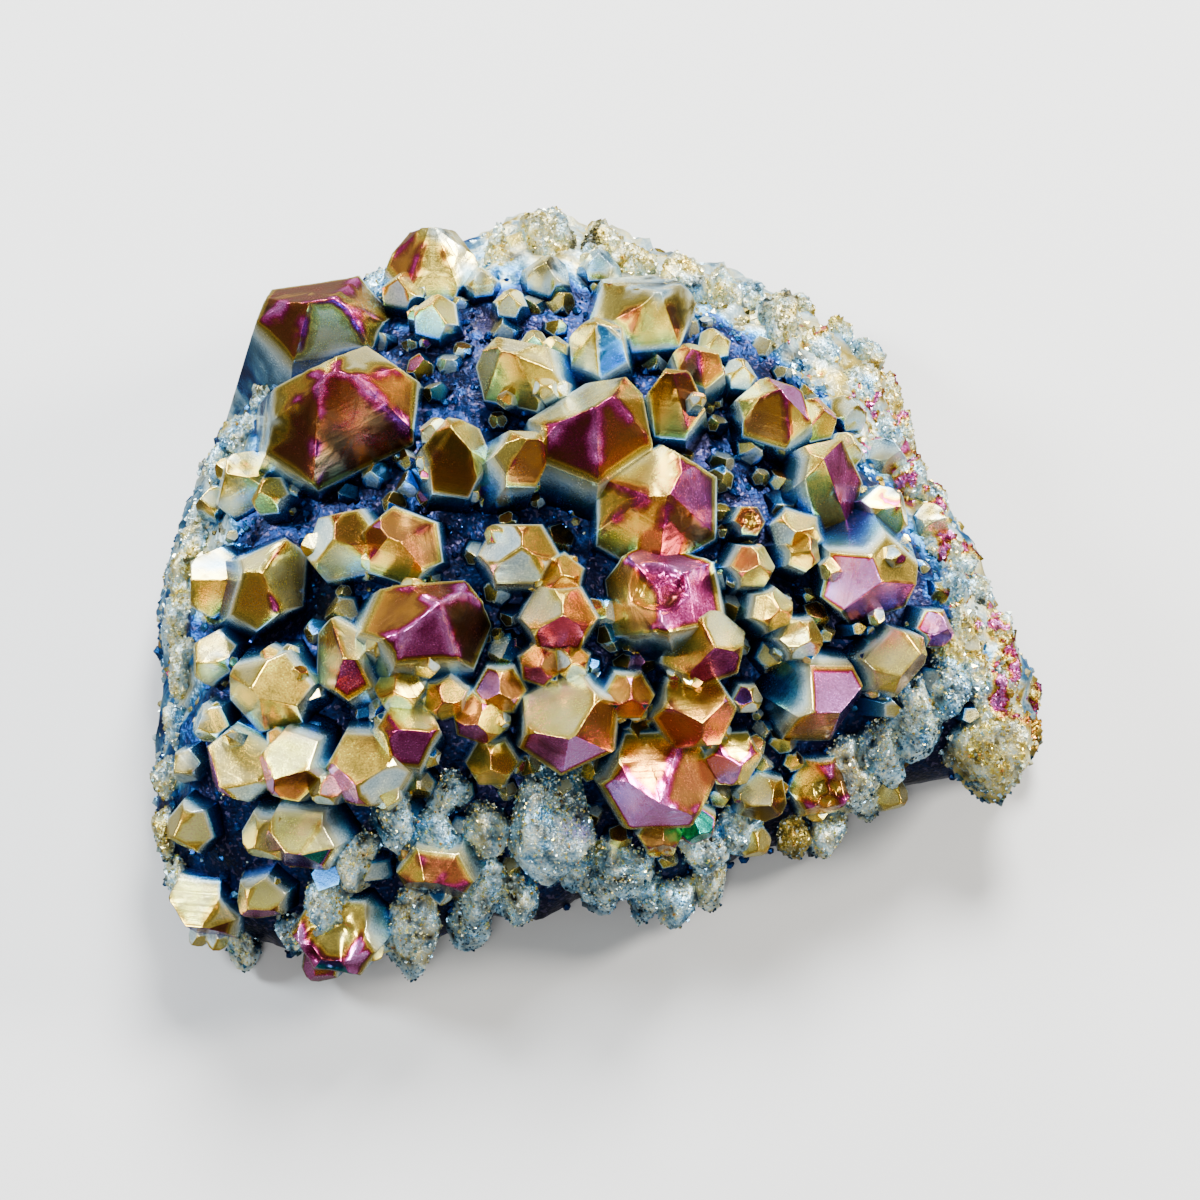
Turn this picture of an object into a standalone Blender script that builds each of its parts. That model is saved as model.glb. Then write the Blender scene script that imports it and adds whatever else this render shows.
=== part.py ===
"""Aura quartz cluster: a domed lump of matrix grown over with quartz points, one solid.

Frame: metres, +X along the width, +Y to the back, +Z up. The origin is the middle of the flat
underside on which the cluster rests.

The layout is drawn in millimetres on a slanted plane: u runs to the right, v runs up the slope, and
the third axis points at an eye in front of the plane. Each crystal is dropped from the eye along
its own line of sight until it meets the dome.
"""

import math

import bmesh
import bpy
import numpy as np
from mathutils import Vector

MM = 0.001

# Slanted drawing plane
SIGHT_RISE = math.radians(66.0)
EYE_DISTANCE = 225.0
PLANE_X = -0.17
PLANE_Y = -4.79
PLANE_Z = 12.0

# Dome of matrix
SUMMIT_U = -5.0
SUMMIT_Y = 2.0
SUMMIT_Z = 19.5
DOME_FULLNESS = 0.62
RIM_Z = 4.5
RIM_RISE = 0.10
SKIRT_FALL = 1.3
# How far the rim lies from the middle of the plane, one value for each 10 degrees from +u.
RIM_REACH = (
    27.4, 25.9, 24.3, 23.7, 24.4, 24.7, 24.4, 24.7, 24.7,
    25.8, 27.3, 26.7, 27.4, 28.4, 29.8, 28.1, 29.2, 29.5,
    30.6, 30.5, 32.8, 35.0, 34.4, 31.6, 27.0, 22.8, 21.6,
    19.3, 20.6, 20.3, 19.8, 20.9, 21.6, 24.2, 30.5, 30.5,
)
# Rings of the matrix: how far out towards the rim, and how high between underside and surface.
TOP_RINGS = (0.2, 0.4, 0.58, 0.74, 0.87, 0.96, 1.0)
UNDER_RINGS = ((0.985, 0.5), (0.93, 0.0), (0.90, -0.35))
MATRIX_ROUGHNESS = 0.35

# Quartz habit
FLANK_TAPER = math.radians(9.0)
TIP_SLOPE = math.radians(51.8)
CUT_STEP = 0.15
DIGITS = 36
# Small unevenness of the six tip faces, in the same steps.
CUT_UNEVEN = (0.0, 0.37, 0.12, 0.45, 0.21, 0.3)
ROOT_LENGTH = 1.0
ROOT_PER_WIDTH = 0.45

# Points that fill the gaps
FILL_SEED = 11
FILL_TRIES = 900
FILL_COUNT = 36
FILL_GAP = 0.46
LEAN_CENTRE = (-6.5, 2.0)
LEAN_REACH = 42.0

# Rough lumps
LUMP_SEED = 5
LUMP_FACES = 10
LUMP_ROUGHNESS = 0.12
LUMP_SINK = -0.04

# One row for each crystal: u, v, width across the flats, stretch along the ridge, rise of the
# shoulder over the matrix, lean along u, lean along v, spin in degrees, and how many steps each of
# the six tip faces is cut in, as one digit from 0 to 9 and then A to Z.
CRYSTALS = (
    (-18.1,  14.6,  5.9, 1.43, 11.0,  0.06,  0.15, 296, "B52026"),
    (-19.3,  21.7,  6.5, 1.23, 17.0,  0.07,  0.40, 282, "315711"),
    (-11.8,  24.6,  5.6, 1.00, 7.5, -0.02,  0.60, 270, "310002"),
    (-14.0,  22.7,  2.4, 1.10, 5.0, -0.15,  0.45, 250, "403030"),
    (-11.6,  20.9,  2.8, 1.00, 4.5, -0.05,  0.40, 250, "404030"),
    ( -8.3,  23.2,  2.2, 1.00, 3.0,  0.03,  0.58, 280, "303030"),
    ( -6.4,  17.1,  3.8, 1.32, 6.0, -0.28,  0.22, 254, "720104"),
    ( -9.9,  11.4,  4.2, 0.92, 5.5,  0.10,  0.35, 262, "745003"),
    (-11.7,  12.7,  1.8, 1.00, 3.0, -0.15,  0.40, 250, "303030"),
    ( -0.2,  14.5,  6.0, 1.10, 8.5,  0.09,  0.47, 309, "640835"),
    ( -5.1,  11.1,  3.2, 1.00, 5.5,  0.36,  0.34, 277, "610103"),
    (  5.4,  15.4,  3.3, 0.91, 7.0,  0.08,  0.34, 266, "BA3102"),
    (  6.9,  17.7,  2.9, 1.04, 5.5,  0.06,  0.44, 255, "440401"),
    ( -0.2,  18.9,  3.4, 1.03, 5.5, -0.05,  0.45, 244, "440003"),
    ( -0.1,  24.4,  2.4, 1.00, 3.5,  0.00,  0.50, 270, "303030"),
    (  3.3,  21.4,  6.7, 0.94, 5.0,  0.19,  0.40, 282, "110430"),
    ( -3.8,  23.7,  2.9, 1.00, 3.5,  0.00,  0.46, 250, "303030"),
    ( -4.6,  18.9,  1.7, 1.00, 3.5,  0.00,  0.45, 270, "303030"),
    ( -3.1,  18.5,  1.7, 1.00, 3.5,  0.03,  0.45, 290, "303030"),
    ( -6.3,  21.7,  2.1, 1.00, 3.0, -0.03,  0.50, 260, "303030"),
    (  8.1,  18.9,  2.1, 1.00, 3.5,  0.18,  0.48, 290, "303030"),
    (  9.9,  16.7,  2.1, 1.00, 3.5,  0.22,  0.42, 270, "303030"),
    ( 12.3,  14.4,  4.0, 1.12, 5.5,  0.09,  0.39, 254, "522121"),
    ( 15.3,  13.6,  2.8, 1.00, 4.5,  0.32,  0.28, 290, "403040"),
    ( 16.7,   9.7,  4.9, 0.93, 6.5,  0.24,  0.30, 288, "8A0200"),
    ( 13.7,   5.5,  2.2, 1.24, 4.5, -0.05,  0.02,  74, "504040"),
    ( 20.4,   7.0,  3.2, 1.00, 4.0,  0.42,  0.20, 250, "303030"),
    ( 23.6,   6.3,  2.4, 1.00, 3.0,  0.52,  0.18, 260, "303030"),
    ( 17.5,  11.4,  2.2, 1.00, 4.0,  0.36,  0.28, 270, "303030"),
    ( 17.6,  14.0,  2.5, 1.00, 3.0,  0.36,  0.34, 290, "303030"),
    ( 20.5,  10.9,  2.5, 1.00, 3.5,  0.44,  0.28, 280, "303030"),
    (-25.6,   9.1,  3.9, 1.10, 4.0, -0.42,  0.24, 290, "403040"),
    (-23.4,   8.1,  2.4, 1.00, 4.0, -0.38,  0.20, 270, "303030"),
    (-27.4,   7.6,  2.4, 1.00, 3.0, -0.52,  0.20, 250, "303030"),
    (-27.7,   2.0,  3.8, 1.10, 4.0, -0.50,  0.08, 300, "404030"),
    (-22.8,   2.3,  5.0, 0.72, 7.5,  0.15,  0.10, 236, "A0D080"),
    (-27.6,  -3.5,  2.9, 1.10, 4.0, -0.46, -0.05, 300, "304030"),
    (-23.9,  -6.2,  4.3, 1.15, 5.0, -0.25, -0.13, 283, "604207"),
    (-18.6,  -3.2,  5.1, 0.77, 4.5, -0.25,  0.15, 299, "305090"),
    (-11.4,  -0.1,  4.8, 1.42, 6.0,  0.24,  0.32, 279, "551440"),
    (-14.0,   4.6,  4.2, 1.10, 4.5, -0.04,  0.10, 250, "504402"),
    (-18.4,   4.6,  4.1, 1.10, 4.5, -0.22,  0.08, 280, "402040"),
    (-14.2,  -5.6,  2.8, 1.00, 3.5, -0.12, -0.10, 270, "303030"),
    (-13.3,  -8.3,  4.2, 0.85, 4.5,  0.13,  0.20, 266, "400631"),
    (-10.9,  -6.3,  2.4, 1.00, 3.5, -0.05, -0.10, 290, "303030"),
    ( -7.0,  -5.7,  2.8, 1.00, 3.5,  0.00, -0.08, 270, "303030"),
    ( -8.5,  -7.8,  2.8, 1.10, 3.5, -0.03, -0.14, 250, "303030"),
    ( -5.7,   4.1,  3.6, 1.15, 5.0,  0.02,  0.12, 270, "402040"),
    ( -2.7,   2.4,  2.5, 1.00, 4.0,  0.06,  0.06, 290, "303030"),
    ( -2.8,  -0.6,  3.9, 1.05, 4.5,  0.05,  0.00, 270, "402030"),
    ( -4.2,  -3.9,  2.4, 1.00, 3.5,  0.02, -0.05, 250, "303030"),
    ( -2.0,  -3.7,  2.1, 1.00, 3.5,  0.05, -0.04, 290, "303030"),
    ( -2.1,  -8.4,  5.2, 1.10, 5.5,  0.04, -0.14, 115, "503330"),
    (  3.8,   2.0,  5.7, 1.07, 6.5, -0.13,  0.24, 249, "209949"),
    (  4.3,   7.3,  6.6, 1.12, 5.0,  0.10,  0.10, 300, "530335"),
    (  7.6,  -2.7,  4.3, 1.10, 4.5,  0.16, -0.02, 290, "403040"),
    ( 10.9,   3.1,  2.5, 1.00, 4.0,  0.22,  0.05, 270, "303030"),
    ( 10.6,   6.3,  1.8, 1.00, 3.5,  0.22,  0.12, 270, "303030"),
    ( 12.3,   0.0,  2.4, 1.00, 4.0,  0.24,  0.00, 290, "303030"),
    ( 14.4,  -2.1,  2.5, 1.00, 4.0,  0.28, -0.05, 270, "303030"),
    ( 14.4,   4.1,  2.2, 1.00, 4.0,  0.30,  0.08, 250, "303030"),
    (  2.1,  -6.1,  2.8, 1.00, 3.5,  0.10, -0.08, 270, "303030"),
    (  6.9,  -7.4,  4.2, 1.10, 4.5,  0.14, -0.10,  95, "503030"),
    ( 10.5,  -6.3,  1.7, 1.00, 3.0,  0.22, -0.10, 270, "303030"),
    ( 19.6,   1.4,  4.5, 1.16, 6.3,  0.16, -0.21, 107, "060905"),
    ( 20.5,   3.1,  3.2, 1.10, 4.5,  0.40,  0.06, 110, "503030"),
    ( 17.0,  -7.8,  5.1, 0.97, 6.5,  0.38, -0.32,  81, "600AA0"),
    ( 21.4,  -3.8,  3.2, 1.25, 4.0,  0.40, -0.08, 135, "500500"),
    ( 23.8,  -1.3,  2.4, 1.00, 3.0,  0.48,  0.00, 270, "303030"),
    (-26.0, -11.3,  3.5, 1.25, 4.0, -0.40, -0.20,  70, "903010"),
    (-22.2, -11.3,  3.8, 1.00, 4.5, -0.32, -0.18,  75, "503030"),
    (-16.7, -11.6,  4.2, 1.10, 4.5, -0.20, -0.20,  90, "503030"),
    (-19.4, -12.7,  2.0, 1.00, 3.5, -0.26, -0.22, 270, "303030"),
    (-29.1, -15.5,  3.2, 1.00, 3.0, -0.50, -0.28, 260, "303030"),
    (-28.3, -21.7,  4.6, 1.10, 4.0, -0.42, -0.40, 100, "405500"),
    (-24.2, -20.7,  2.7, 1.15, 3.5, -0.34, -0.40, 290, "503030"),
    (-23.7, -16.2,  2.9, 1.10, 3.5, -0.36, -0.30, 270, "303030"),
    (-21.5, -16.6,  3.8, 1.20, 4.0, -0.30, -0.30,  90, "404400"),
    (-27.6,  -8.1,  2.4, 1.00, 3.0, -0.48, -0.14, 270, "303030"),
    (-29.3, -11.1,  2.1, 1.00, 3.0, -0.52, -0.20, 290, "303030"),
    (-19.0, -23.8,  4.6, 1.15, 5.0, -0.26, -0.46,  90, "602200"),
    (-11.6, -18.9,  4.1, 1.10, 3.5, -0.10, -0.40, 265, "600000"),
    ( -7.6, -10.9,  2.8, 1.00, 3.5,  0.00, -0.18, 270, "303030"),
    (  4.3, -12.5,  5.9, 1.10, 4.5,  0.10, -0.20,  90, "502205"),
    (  4.3, -16.0,  2.5, 1.00, 3.0,  0.12, -0.32, 270, "303030"),
    (  6.8, -15.3,  2.4, 1.00, 3.0,  0.15, -0.30, 290, "303030"),
    (  9.5, -10.6,  3.4, 1.00, 3.0,  0.20, -0.20,  90, "303030"),
    ( 10.9, -16.5,  2.1, 1.00, 3.0,  0.24, -0.36, 270, "303030"),
    ( 11.6, -13.4,  3.1, 1.00, 3.0,  0.26, -0.28, 250, "403030"),
    ( 15.8, -12.6,  4.1, 1.00, 3.0,  0.34, -0.28, 270, "303030"),
    ( 20.7, -13.2,  2.1, 1.10, 2.5,  0.42, -0.34, 270, "303030"),
    (-19.7, -25.1,  2.5, 1.00, 2.0, -0.20, -0.42, 290, "303030"),
)

# One row for each rough lump: u, v, width.
LUMPS = (
    (-18.6, -20.7, 3.8), (-17.0, -17.0, 3.5), (-14.4, -13.9, 3.8), (-11.9, -16.5, 4.2),
    (-8.3, -18.9, 4.2), (-5.7, -19.6, 3.9), (-8.4, -15.4, 3.6), (-3.5, -14.4, 6.3),
    (-1.5, -16.9, 3.5), (-10.5, -12.6, 2.8), (-13.4, -21.6, 4.6), (-9.2, -21.1, 3.2),
    (1.5, -17.5, 4.2), (3.2, -19.5, 3.1), (4.8, -19.7, 3.5), (7.7, -18.3, 3.1),
    (0.1, -18.6, 3.8), (9.5, -15.1, 3.5), (15.5, -15.5, 3.1), (13.3, -15.3, 2.8),
    (17.5, -11.2, 4.2), (19.6, -9.1, 4.2), (22.1, -7.0, 4.2), (24.2, -4.9, 3.5),
    (18.8, -13.0, 2.8), (7.0, -16.5, 3.1), (27.0, -9.2, 7.0), (30.0, -8.8, 2.8),
    (30.1, -6.4, 2.2), (28.4, -4.1, 3.1), (27.7, -1.5, 2.8), (26.3, 0.9, 2.8),
    (25.2, 3.5, 2.8), (27.3, -6.3, 4.2), (21.4, 8.8, 3.5), (19.7, 12.5, 3.1),
    (18.1, 15.3, 3.9), (15.1, 18.1, 3.4), (12.3, 19.6, 4.6), (8.5, 21.7, 3.5),
    (5.7, 22.5, 4.5), (2.5, 23.9, 3.4), (0.0, 24.8, 4.2), (-3.6, 25.6, 5.2),
    (-7.1, 24.8, 3.1), (-15.4, 22.3, 2.8), (-23.0, 15.1, 2.9), (-24.9, 12.0, 3.2),
    (-26.5, 9.8, 2.9), (-28.1, 4.6, 2.9), (-28.7, 2.7, 3.2), (-29.3, -0.7, 2.9),
    (-29.1, -4.9, 2.9), (-29.4, -8.1, 2.9), (-30.1, -11.9, 3.1), (-30.2, -15.4, 3.1),
    (-29.4, -18.3, 3.4), (-21.1, -22.4, 3.2), (-24.9, -23.1, 2.8),
)

RIGHT = np.array([1.0, 0.0, 0.0])
UP = np.array([0.0, math.sin(SIGHT_RISE), math.cos(SIGHT_RISE)])
TOWARD = np.array([0.0, -math.cos(SIGHT_RISE), math.sin(SIGHT_RISE)])
PLANE_ORIGIN = np.array([PLANE_X, PLANE_Y, PLANE_Z])
SUMMIT_X = PLANE_X + SUMMIT_U


def clear_scene():
    """Remove the objects of the startup scene."""
    for obj in list(bpy.data.objects):
        bpy.data.objects.remove(obj, do_unlink=True)


def on_sight_line(u, v, height):
    """Point over the plane at this height, on the line from the eye through (u, v)."""
    narrowing = 1.0 - np.asarray(height)[..., None] / EYE_DISTANCE
    return PLANE_ORIGIN + (u * RIGHT + v * UP) * narrowing + np.asarray(height)[..., None] * TOWARD


def at_level(u, v, z):
    """Point where the line of sight through (u, v) crosses the level z."""
    fall = math.sin(SIGHT_RISE) - v * math.cos(SIGHT_RISE) / EYE_DISTANCE
    height = (z - PLANE_Z - v * math.cos(SIGHT_RISE)) / fall
    return on_sight_line(u, v, height)


def rim_points():
    """The rim in the round, one point for each value of RIM_REACH."""
    points = []
    for index, reach in enumerate(RIM_REACH):
        angle = math.tau * index / len(RIM_REACH)
        u = reach * math.cos(angle)
        v = reach * math.sin(angle)
        points.append(at_level(u, v, RIM_Z + RIM_RISE * v))
    return np.array(points)


def rim_table():
    """The rim about the summit: bearings, reaches and heights, in order of bearing."""
    points = rim_points()
    east = points[:, 0] - SUMMIT_X
    north = points[:, 1] - SUMMIT_Y
    bearings = np.arctan2(north, east)
    order = np.argsort(bearings)
    return bearings[order], np.hypot(east, north)[order], points[order, 2]


RIM_BEARINGS, RIM_RADII, RIM_LEVELS = rim_table()


def rim_at(bearing):
    """Reach and level of the rim in the direction of this bearing."""
    reach = np.interp(bearing, RIM_BEARINGS, RIM_RADII, period=math.tau)
    level = np.interp(bearing, RIM_BEARINGS, RIM_LEVELS, period=math.tau)
    return reach, level


def dome_level(fraction, level):
    """Height of the dome at this fraction of the way from the summit to a rim at this level."""
    inside = np.clip(1.0 - fraction**2, 0.0, 1.0)
    return level + (SUMMIT_Z - level) * inside**DOME_FULLNESS


def ground(x, y):
    """Height of the matrix over (x, y). Past the rim it falls away as a skirt."""
    bearing = np.arctan2(y - SUMMIT_Y, x - SUMMIT_X)
    distance = np.hypot(x - SUMMIT_X, y - SUMMIT_Y)
    reach, level = rim_at(bearing)
    beyond = np.maximum(distance - reach, 0.0)
    return dome_level(np.minimum(distance / reach, 1.0), level) - SKIRT_FALL * beyond


def drop(u, v):
    """Height over the plane at which the line of sight through (u, v) meets the matrix."""
    heights = np.linspace(30.0, -30.0, 2401)
    points = on_sight_line(u, v, heights)
    under = points[:, 2] <= ground(points[:, 0], points[:, 1])
    return heights[np.argmax(under)]


def ring_points(bearings, fraction, share, rng):
    """One ring of the matrix: share 1 lies on the dome, share 0 on the level of the underside."""
    reach, level = rim_at(bearings)
    radius = reach * fraction
    bump = rng.normal(0.0, MATRIX_ROUGHNESS, len(bearings))
    height = dome_level(fraction, level) if share is None else level * share
    x = SUMMIT_X + (radius + bump) * np.cos(bearings)
    y = SUMMIT_Y + (radius + bump) * np.sin(bearings)
    z = height + (bump if share is None else 0.0)
    return np.column_stack([x, y, z])


def matrix_mesh():
    """The lump of matrix: rings from the summit out to the rim, then in under it."""
    rng = np.random.default_rng(LUMP_SEED)
    bm = bmesh.new()
    rings = []
    for fraction in TOP_RINGS:
        rings.append(ring_points(RIM_BEARINGS, fraction, None, rng))
    for fraction, share in UNDER_RINGS:
        rings.append(ring_points(RIM_BEARINGS, fraction, share, rng))
    loops = [[bm.verts.new(point) for point in ring] for ring in rings]
    top = bm.verts.new((SUMMIT_X, SUMMIT_Y, SUMMIT_Z))
    count = len(RIM_BEARINGS)
    for i in range(count):
        j = (i + 1) % count
        bm.faces.new((top, loops[0][i], loops[0][j]))
        for inner, outer in zip(loops, loops[1:]):
            bm.faces.new((inner[i], outer[i], outer[j], inner[j]))
    bm.faces.new(loops[-1][::-1])
    bmesh.ops.recalc_face_normals(bm, faces=bm.faces)
    return bm


def slice_off(bm, point, normal):
    """Cut off the side of a convex solid that the normal points to, and close the cut."""
    everything = bm.verts[:] + bm.edges[:] + bm.faces[:]
    cut = bmesh.ops.bisect_plane(
        bm, geom=everything, plane_co=point, plane_no=normal, clear_outer=True
    )
    edges = [item for item in cut["geom_cut"] if isinstance(item, bmesh.types.BMEdge)]
    bmesh.ops.holes_fill(bm, edges=edges, sides=0)


def crystal_axes(lean_u, lean_v):
    """Three unit vectors of a crystal, the last along its length."""
    lean_w = math.sqrt(1.0 - lean_u**2 - lean_v**2)
    axis = lean_u * RIGHT + lean_v * UP + lean_w * TOWARD
    first = RIGHT - axis * np.dot(RIGHT, axis)
    first = first / np.linalg.norm(first)
    return first, np.cross(axis, first), axis


def crystal_mesh(row):
    """A tapered six-sided prism with slanted faces cut at its tip and its root in the matrix."""
    u, v, width, stretch, rise, lean_u, lean_v, spin, cuts = row
    half = width / 2
    root = rise + ROOT_LENGTH + ROOT_PER_WIDTH * width
    bm = bmesh.new()
    bmesh.ops.create_cube(bm, size=1.0)
    bmesh.ops.scale(bm, verts=bm.verts, vec=(4 * width, 4 * width, root + 2 * width))
    bmesh.ops.translate(bm, verts=bm.verts, vec=(0, 0, width - root / 2))
    tip = half * math.tan(TIP_SLOPE)
    for face in range(6):
        angle = math.radians(spin + 60 * face)
        side = Vector((math.cos(angle), math.sin(angle), 0.0))
        flank = side * math.cos(FLANK_TAPER) + Vector((0, 0, math.sin(FLANK_TAPER)))
        slice_off(bm, side * half * (1.0 if face in (0, 3) else stretch), flank)
        slant = side * math.sin(TIP_SLOPE) + Vector((0, 0, math.cos(TIP_SLOPE)))
        depth = CUT_STEP * half * (int(cuts[face], DIGITS) + CUT_UNEVEN[face])
        slice_off(bm, Vector((0, 0, tip - depth)), slant)
    centre = on_sight_line(u, v, drop(u, v) + rise)
    first, second, axis = crystal_axes(lean_u, lean_v)
    for vert in bm.verts:
        x, y, z = vert.co
        vert.co = Vector(centre + x * first + y * second + z * axis)
    bmesh.ops.recalc_face_normals(bm, faces=bm.faces)
    return bm


def dome_lean(u, v):
    """How far a crystal at (u, v) leans when it stands square to the dome."""
    lean_u = (u - LEAN_CENTRE[0]) / LEAN_REACH
    lean_v = (v - LEAN_CENTRE[1]) / LEAN_REACH
    return lean_u, lean_v


def is_clear(u, v, width, rows):
    """Whether a crystal of this width fits at (u, v) between those in the rows."""
    return all(math.hypot(u - r[0], v - r[1]) > FILL_GAP * (width + r[2] * r[3]) for r in rows)


def fill_rows():
    """Rows of small crystals that fill the gaps between those of CRYSTALS."""
    rng = np.random.default_rng(FILL_SEED)
    taken = list(CRYSTALS)
    rows = []
    for _ in range(FILL_TRIES):
        angle, share, width, spin = rng.uniform((0, 0, 1.3, 0), (math.tau, 1, 2.4, 120))
        tilt_u, tilt_v = rng.normal(0.0, 0.12, 2)
        reach = np.interp(math.degrees(angle) / 10, range(37), RIM_REACH + RIM_REACH[:1])
        u = 0.9 * reach * math.sqrt(share) * math.cos(angle)
        v = 0.9 * reach * math.sqrt(share) * math.sin(angle)
        if len(rows) == FILL_COUNT or not is_clear(u, v, width, taken):
            continue
        lean_u, lean_v = dome_lean(u, v)
        row = (u, v, width, 1.0, 1.2, lean_u + tilt_u, lean_v + tilt_v, spin, "303030")
        rows.append(row)
        taken.append(row)
    return rows


def spread_directions(count):
    """Directions spread evenly about a ball, on a spiral from one pole to the other."""
    turn = math.pi * (3.0 - math.sqrt(5.0))
    directions = []
    for index in range(count):
        z = 1.0 - (2.0 * index + 1.0) / count
        radius = math.sqrt(1.0 - z * z)
        angle = turn * index
        directions.append(Vector((radius * math.cos(angle), radius * math.sin(angle), z)))
    return directions


def lump_mesh(u, v, width, rng):
    """A rough lump of broken faces, half sunk in the matrix."""
    bm = bmesh.new()
    bmesh.ops.create_cube(bm, size=1.3 * width)
    for direction in spread_directions(LUMP_FACES):
        tilted = direction + Vector(rng.normal(0.0, LUMP_ROUGHNESS, 3))
        reach = width / 2 * (1.0 + rng.uniform(-LUMP_ROUGHNESS, LUMP_ROUGHNESS))
        slice_off(bm, tilted.normalized() * reach, tilted.normalized())
    centre = on_sight_line(u, v, drop(u, v) + width * LUMP_SINK)
    bmesh.ops.translate(bm, verts=bm.verts, vec=centre)
    bmesh.ops.recalc_face_normals(bm, faces=bm.faces)
    return bm


def add_object(name, bm, collection):
    """Turn a mesh in millimetres into a named object in metres."""
    bmesh.ops.scale(bm, verts=bm.verts, vec=(MM, MM, MM))
    mesh = bpy.data.meshes.new(name)
    bm.to_mesh(mesh)
    bm.free()
    obj = bpy.data.objects.new(name, mesh)
    collection.objects.link(obj)
    return obj


def new_collection(name):
    """A collection linked to the scene."""
    collection = bpy.data.collections.new(name)
    bpy.context.scene.collection.children.link(collection)
    return collection


def add_helper(name, bm, collection):
    """An object that only joins or cuts another."""
    obj = add_object(name, bm, collection)
    obj.hide_render = True
    obj.display_type = "WIRE"
    return obj


def coated_quartz():
    """The material of the whole cluster."""
    material = bpy.data.materials.new("aura_coated_quartz")
    material.use_nodes = True
    shader = material.node_tree.nodes["Principled BSDF"]
    shader.inputs["Base Color"].default_value = (0.10, 0.16, 0.42, 1.0)
    shader.inputs["Metallic"].default_value = 0.9
    shader.inputs["Roughness"].default_value = 0.25
    return material


def join(target, operation, **operand):
    """Add an exact Boolean to the target."""
    modifier = target.modifiers.new(operation.lower(), "BOOLEAN")
    modifier.solver = "EXACT"
    modifier.operation = operation
    for key, value in operand.items():
        setattr(modifier, key, value)


def main():
    """Build the cluster: matrix, lumps and crystals joined, then cut off flat underneath."""
    clear_scene()
    parts = new_collection("aura_quartz_cluster")
    growths = new_collection("growths")
    cutters = new_collection("cutters")

    cluster = add_object("quartz_cluster", matrix_mesh(), parts)
    cluster.data.materials.append(coated_quartz())
    for index, row in enumerate(list(CRYSTALS) + fill_rows()):
        add_helper(f"crystal_{index:03d}", crystal_mesh(row), growths)
    rng = np.random.default_rng(LUMP_SEED)
    for index, (u, v, width) in enumerate(LUMPS):
        add_helper(f"lump_{index:03d}", lump_mesh(u, v, width, rng), growths)

    floor = bmesh.new()
    bmesh.ops.create_cube(floor, size=1.0)
    bmesh.ops.scale(floor, verts=floor.verts, vec=(100.0, 100.0, 20.0))
    bmesh.ops.translate(floor, verts=floor.verts, vec=(0.0, 0.0, -10.0))
    below = add_helper("below_ground", floor, cutters)

    join(cluster, "UNION", operand_type="COLLECTION", collection=growths)
    join(cluster, "DIFFERENCE", operand_type="OBJECT", object=below)


main()
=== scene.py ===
"""Aura quartz cluster: quartz points, rough lumps and fine grains over a domed lump of matrix.

Frame: metres, +X along the width, +Y to the back, +Z up, origin in the middle of the flat
underside. Shapes are worked out in millimetres and put into the meshes in metres.

The layout is drawn on a slanted plane: u runs to the right, v runs up the slope, and the third
axis points at an eye in front of the plane. Each growth is dropped from the eye along its own line
of sight until it meets the dome.
"""

from __future__ import annotations

import logging
import math
from abc import ABC, abstractmethod
from dataclasses import dataclass, field
from enum import Enum
from itertools import combinations
from typing import Any, NamedTuple

import bpy
import numpy as np
from mathutils import Matrix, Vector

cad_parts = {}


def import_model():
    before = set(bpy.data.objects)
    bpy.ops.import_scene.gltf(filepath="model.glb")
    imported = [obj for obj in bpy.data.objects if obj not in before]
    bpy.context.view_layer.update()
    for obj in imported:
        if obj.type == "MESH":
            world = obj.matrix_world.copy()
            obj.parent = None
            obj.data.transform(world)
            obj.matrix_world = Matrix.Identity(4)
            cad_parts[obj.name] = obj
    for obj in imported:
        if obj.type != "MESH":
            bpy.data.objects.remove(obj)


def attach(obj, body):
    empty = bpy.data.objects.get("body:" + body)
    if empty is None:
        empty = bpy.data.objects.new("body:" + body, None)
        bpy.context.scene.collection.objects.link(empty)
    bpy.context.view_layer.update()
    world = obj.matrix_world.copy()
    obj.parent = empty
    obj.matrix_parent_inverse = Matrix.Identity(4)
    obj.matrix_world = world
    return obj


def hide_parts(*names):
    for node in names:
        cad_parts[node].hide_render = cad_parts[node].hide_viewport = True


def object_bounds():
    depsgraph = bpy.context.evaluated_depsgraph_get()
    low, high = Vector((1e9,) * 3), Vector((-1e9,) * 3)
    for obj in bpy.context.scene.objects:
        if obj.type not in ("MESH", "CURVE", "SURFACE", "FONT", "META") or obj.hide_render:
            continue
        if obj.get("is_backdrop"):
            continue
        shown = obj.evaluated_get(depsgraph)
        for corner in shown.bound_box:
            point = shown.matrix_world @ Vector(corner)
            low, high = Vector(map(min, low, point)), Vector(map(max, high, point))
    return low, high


LOG = logging.getLogger("aura_quartz")
MM = 0.001
NODE = "quartz_cluster"
BODY = "root"

Array = np.ndarray
Pair = tuple[float, float]
Triple = tuple[float, float, float]
Floats = tuple[float, ...]
Colour = Triple


# ---- small helpers


def smooth_step(low: float, high: float, value: Array) -> Array:
    """Rise from 0 at low to 1 at high, level at both ends.

    Args:
        low: Value at which the rise starts.
        high: Value at which the rise ends.
        value: Values to be mapped.

    Returns:
        The share of the rise that is done at each value.
    """
    share = np.clip((np.asarray(value) - low) / (high - low), 0.0, 1.0)
    return share * share * (3.0 - 2.0 * share)


def unit(vectors: Array) -> Array:
    """Scale vectors, held in the last axis, to length one."""
    return vectors / np.maximum(np.linalg.norm(vectors, axis=-1, keepdims=True), 1e-12)


class Noise(NamedTuple):
    """A field of noise, whose values lie this far either side of a level."""

    shift: float
    size: float
    layers: int
    spread: float = 1.0
    level: float = 0.0


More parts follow.
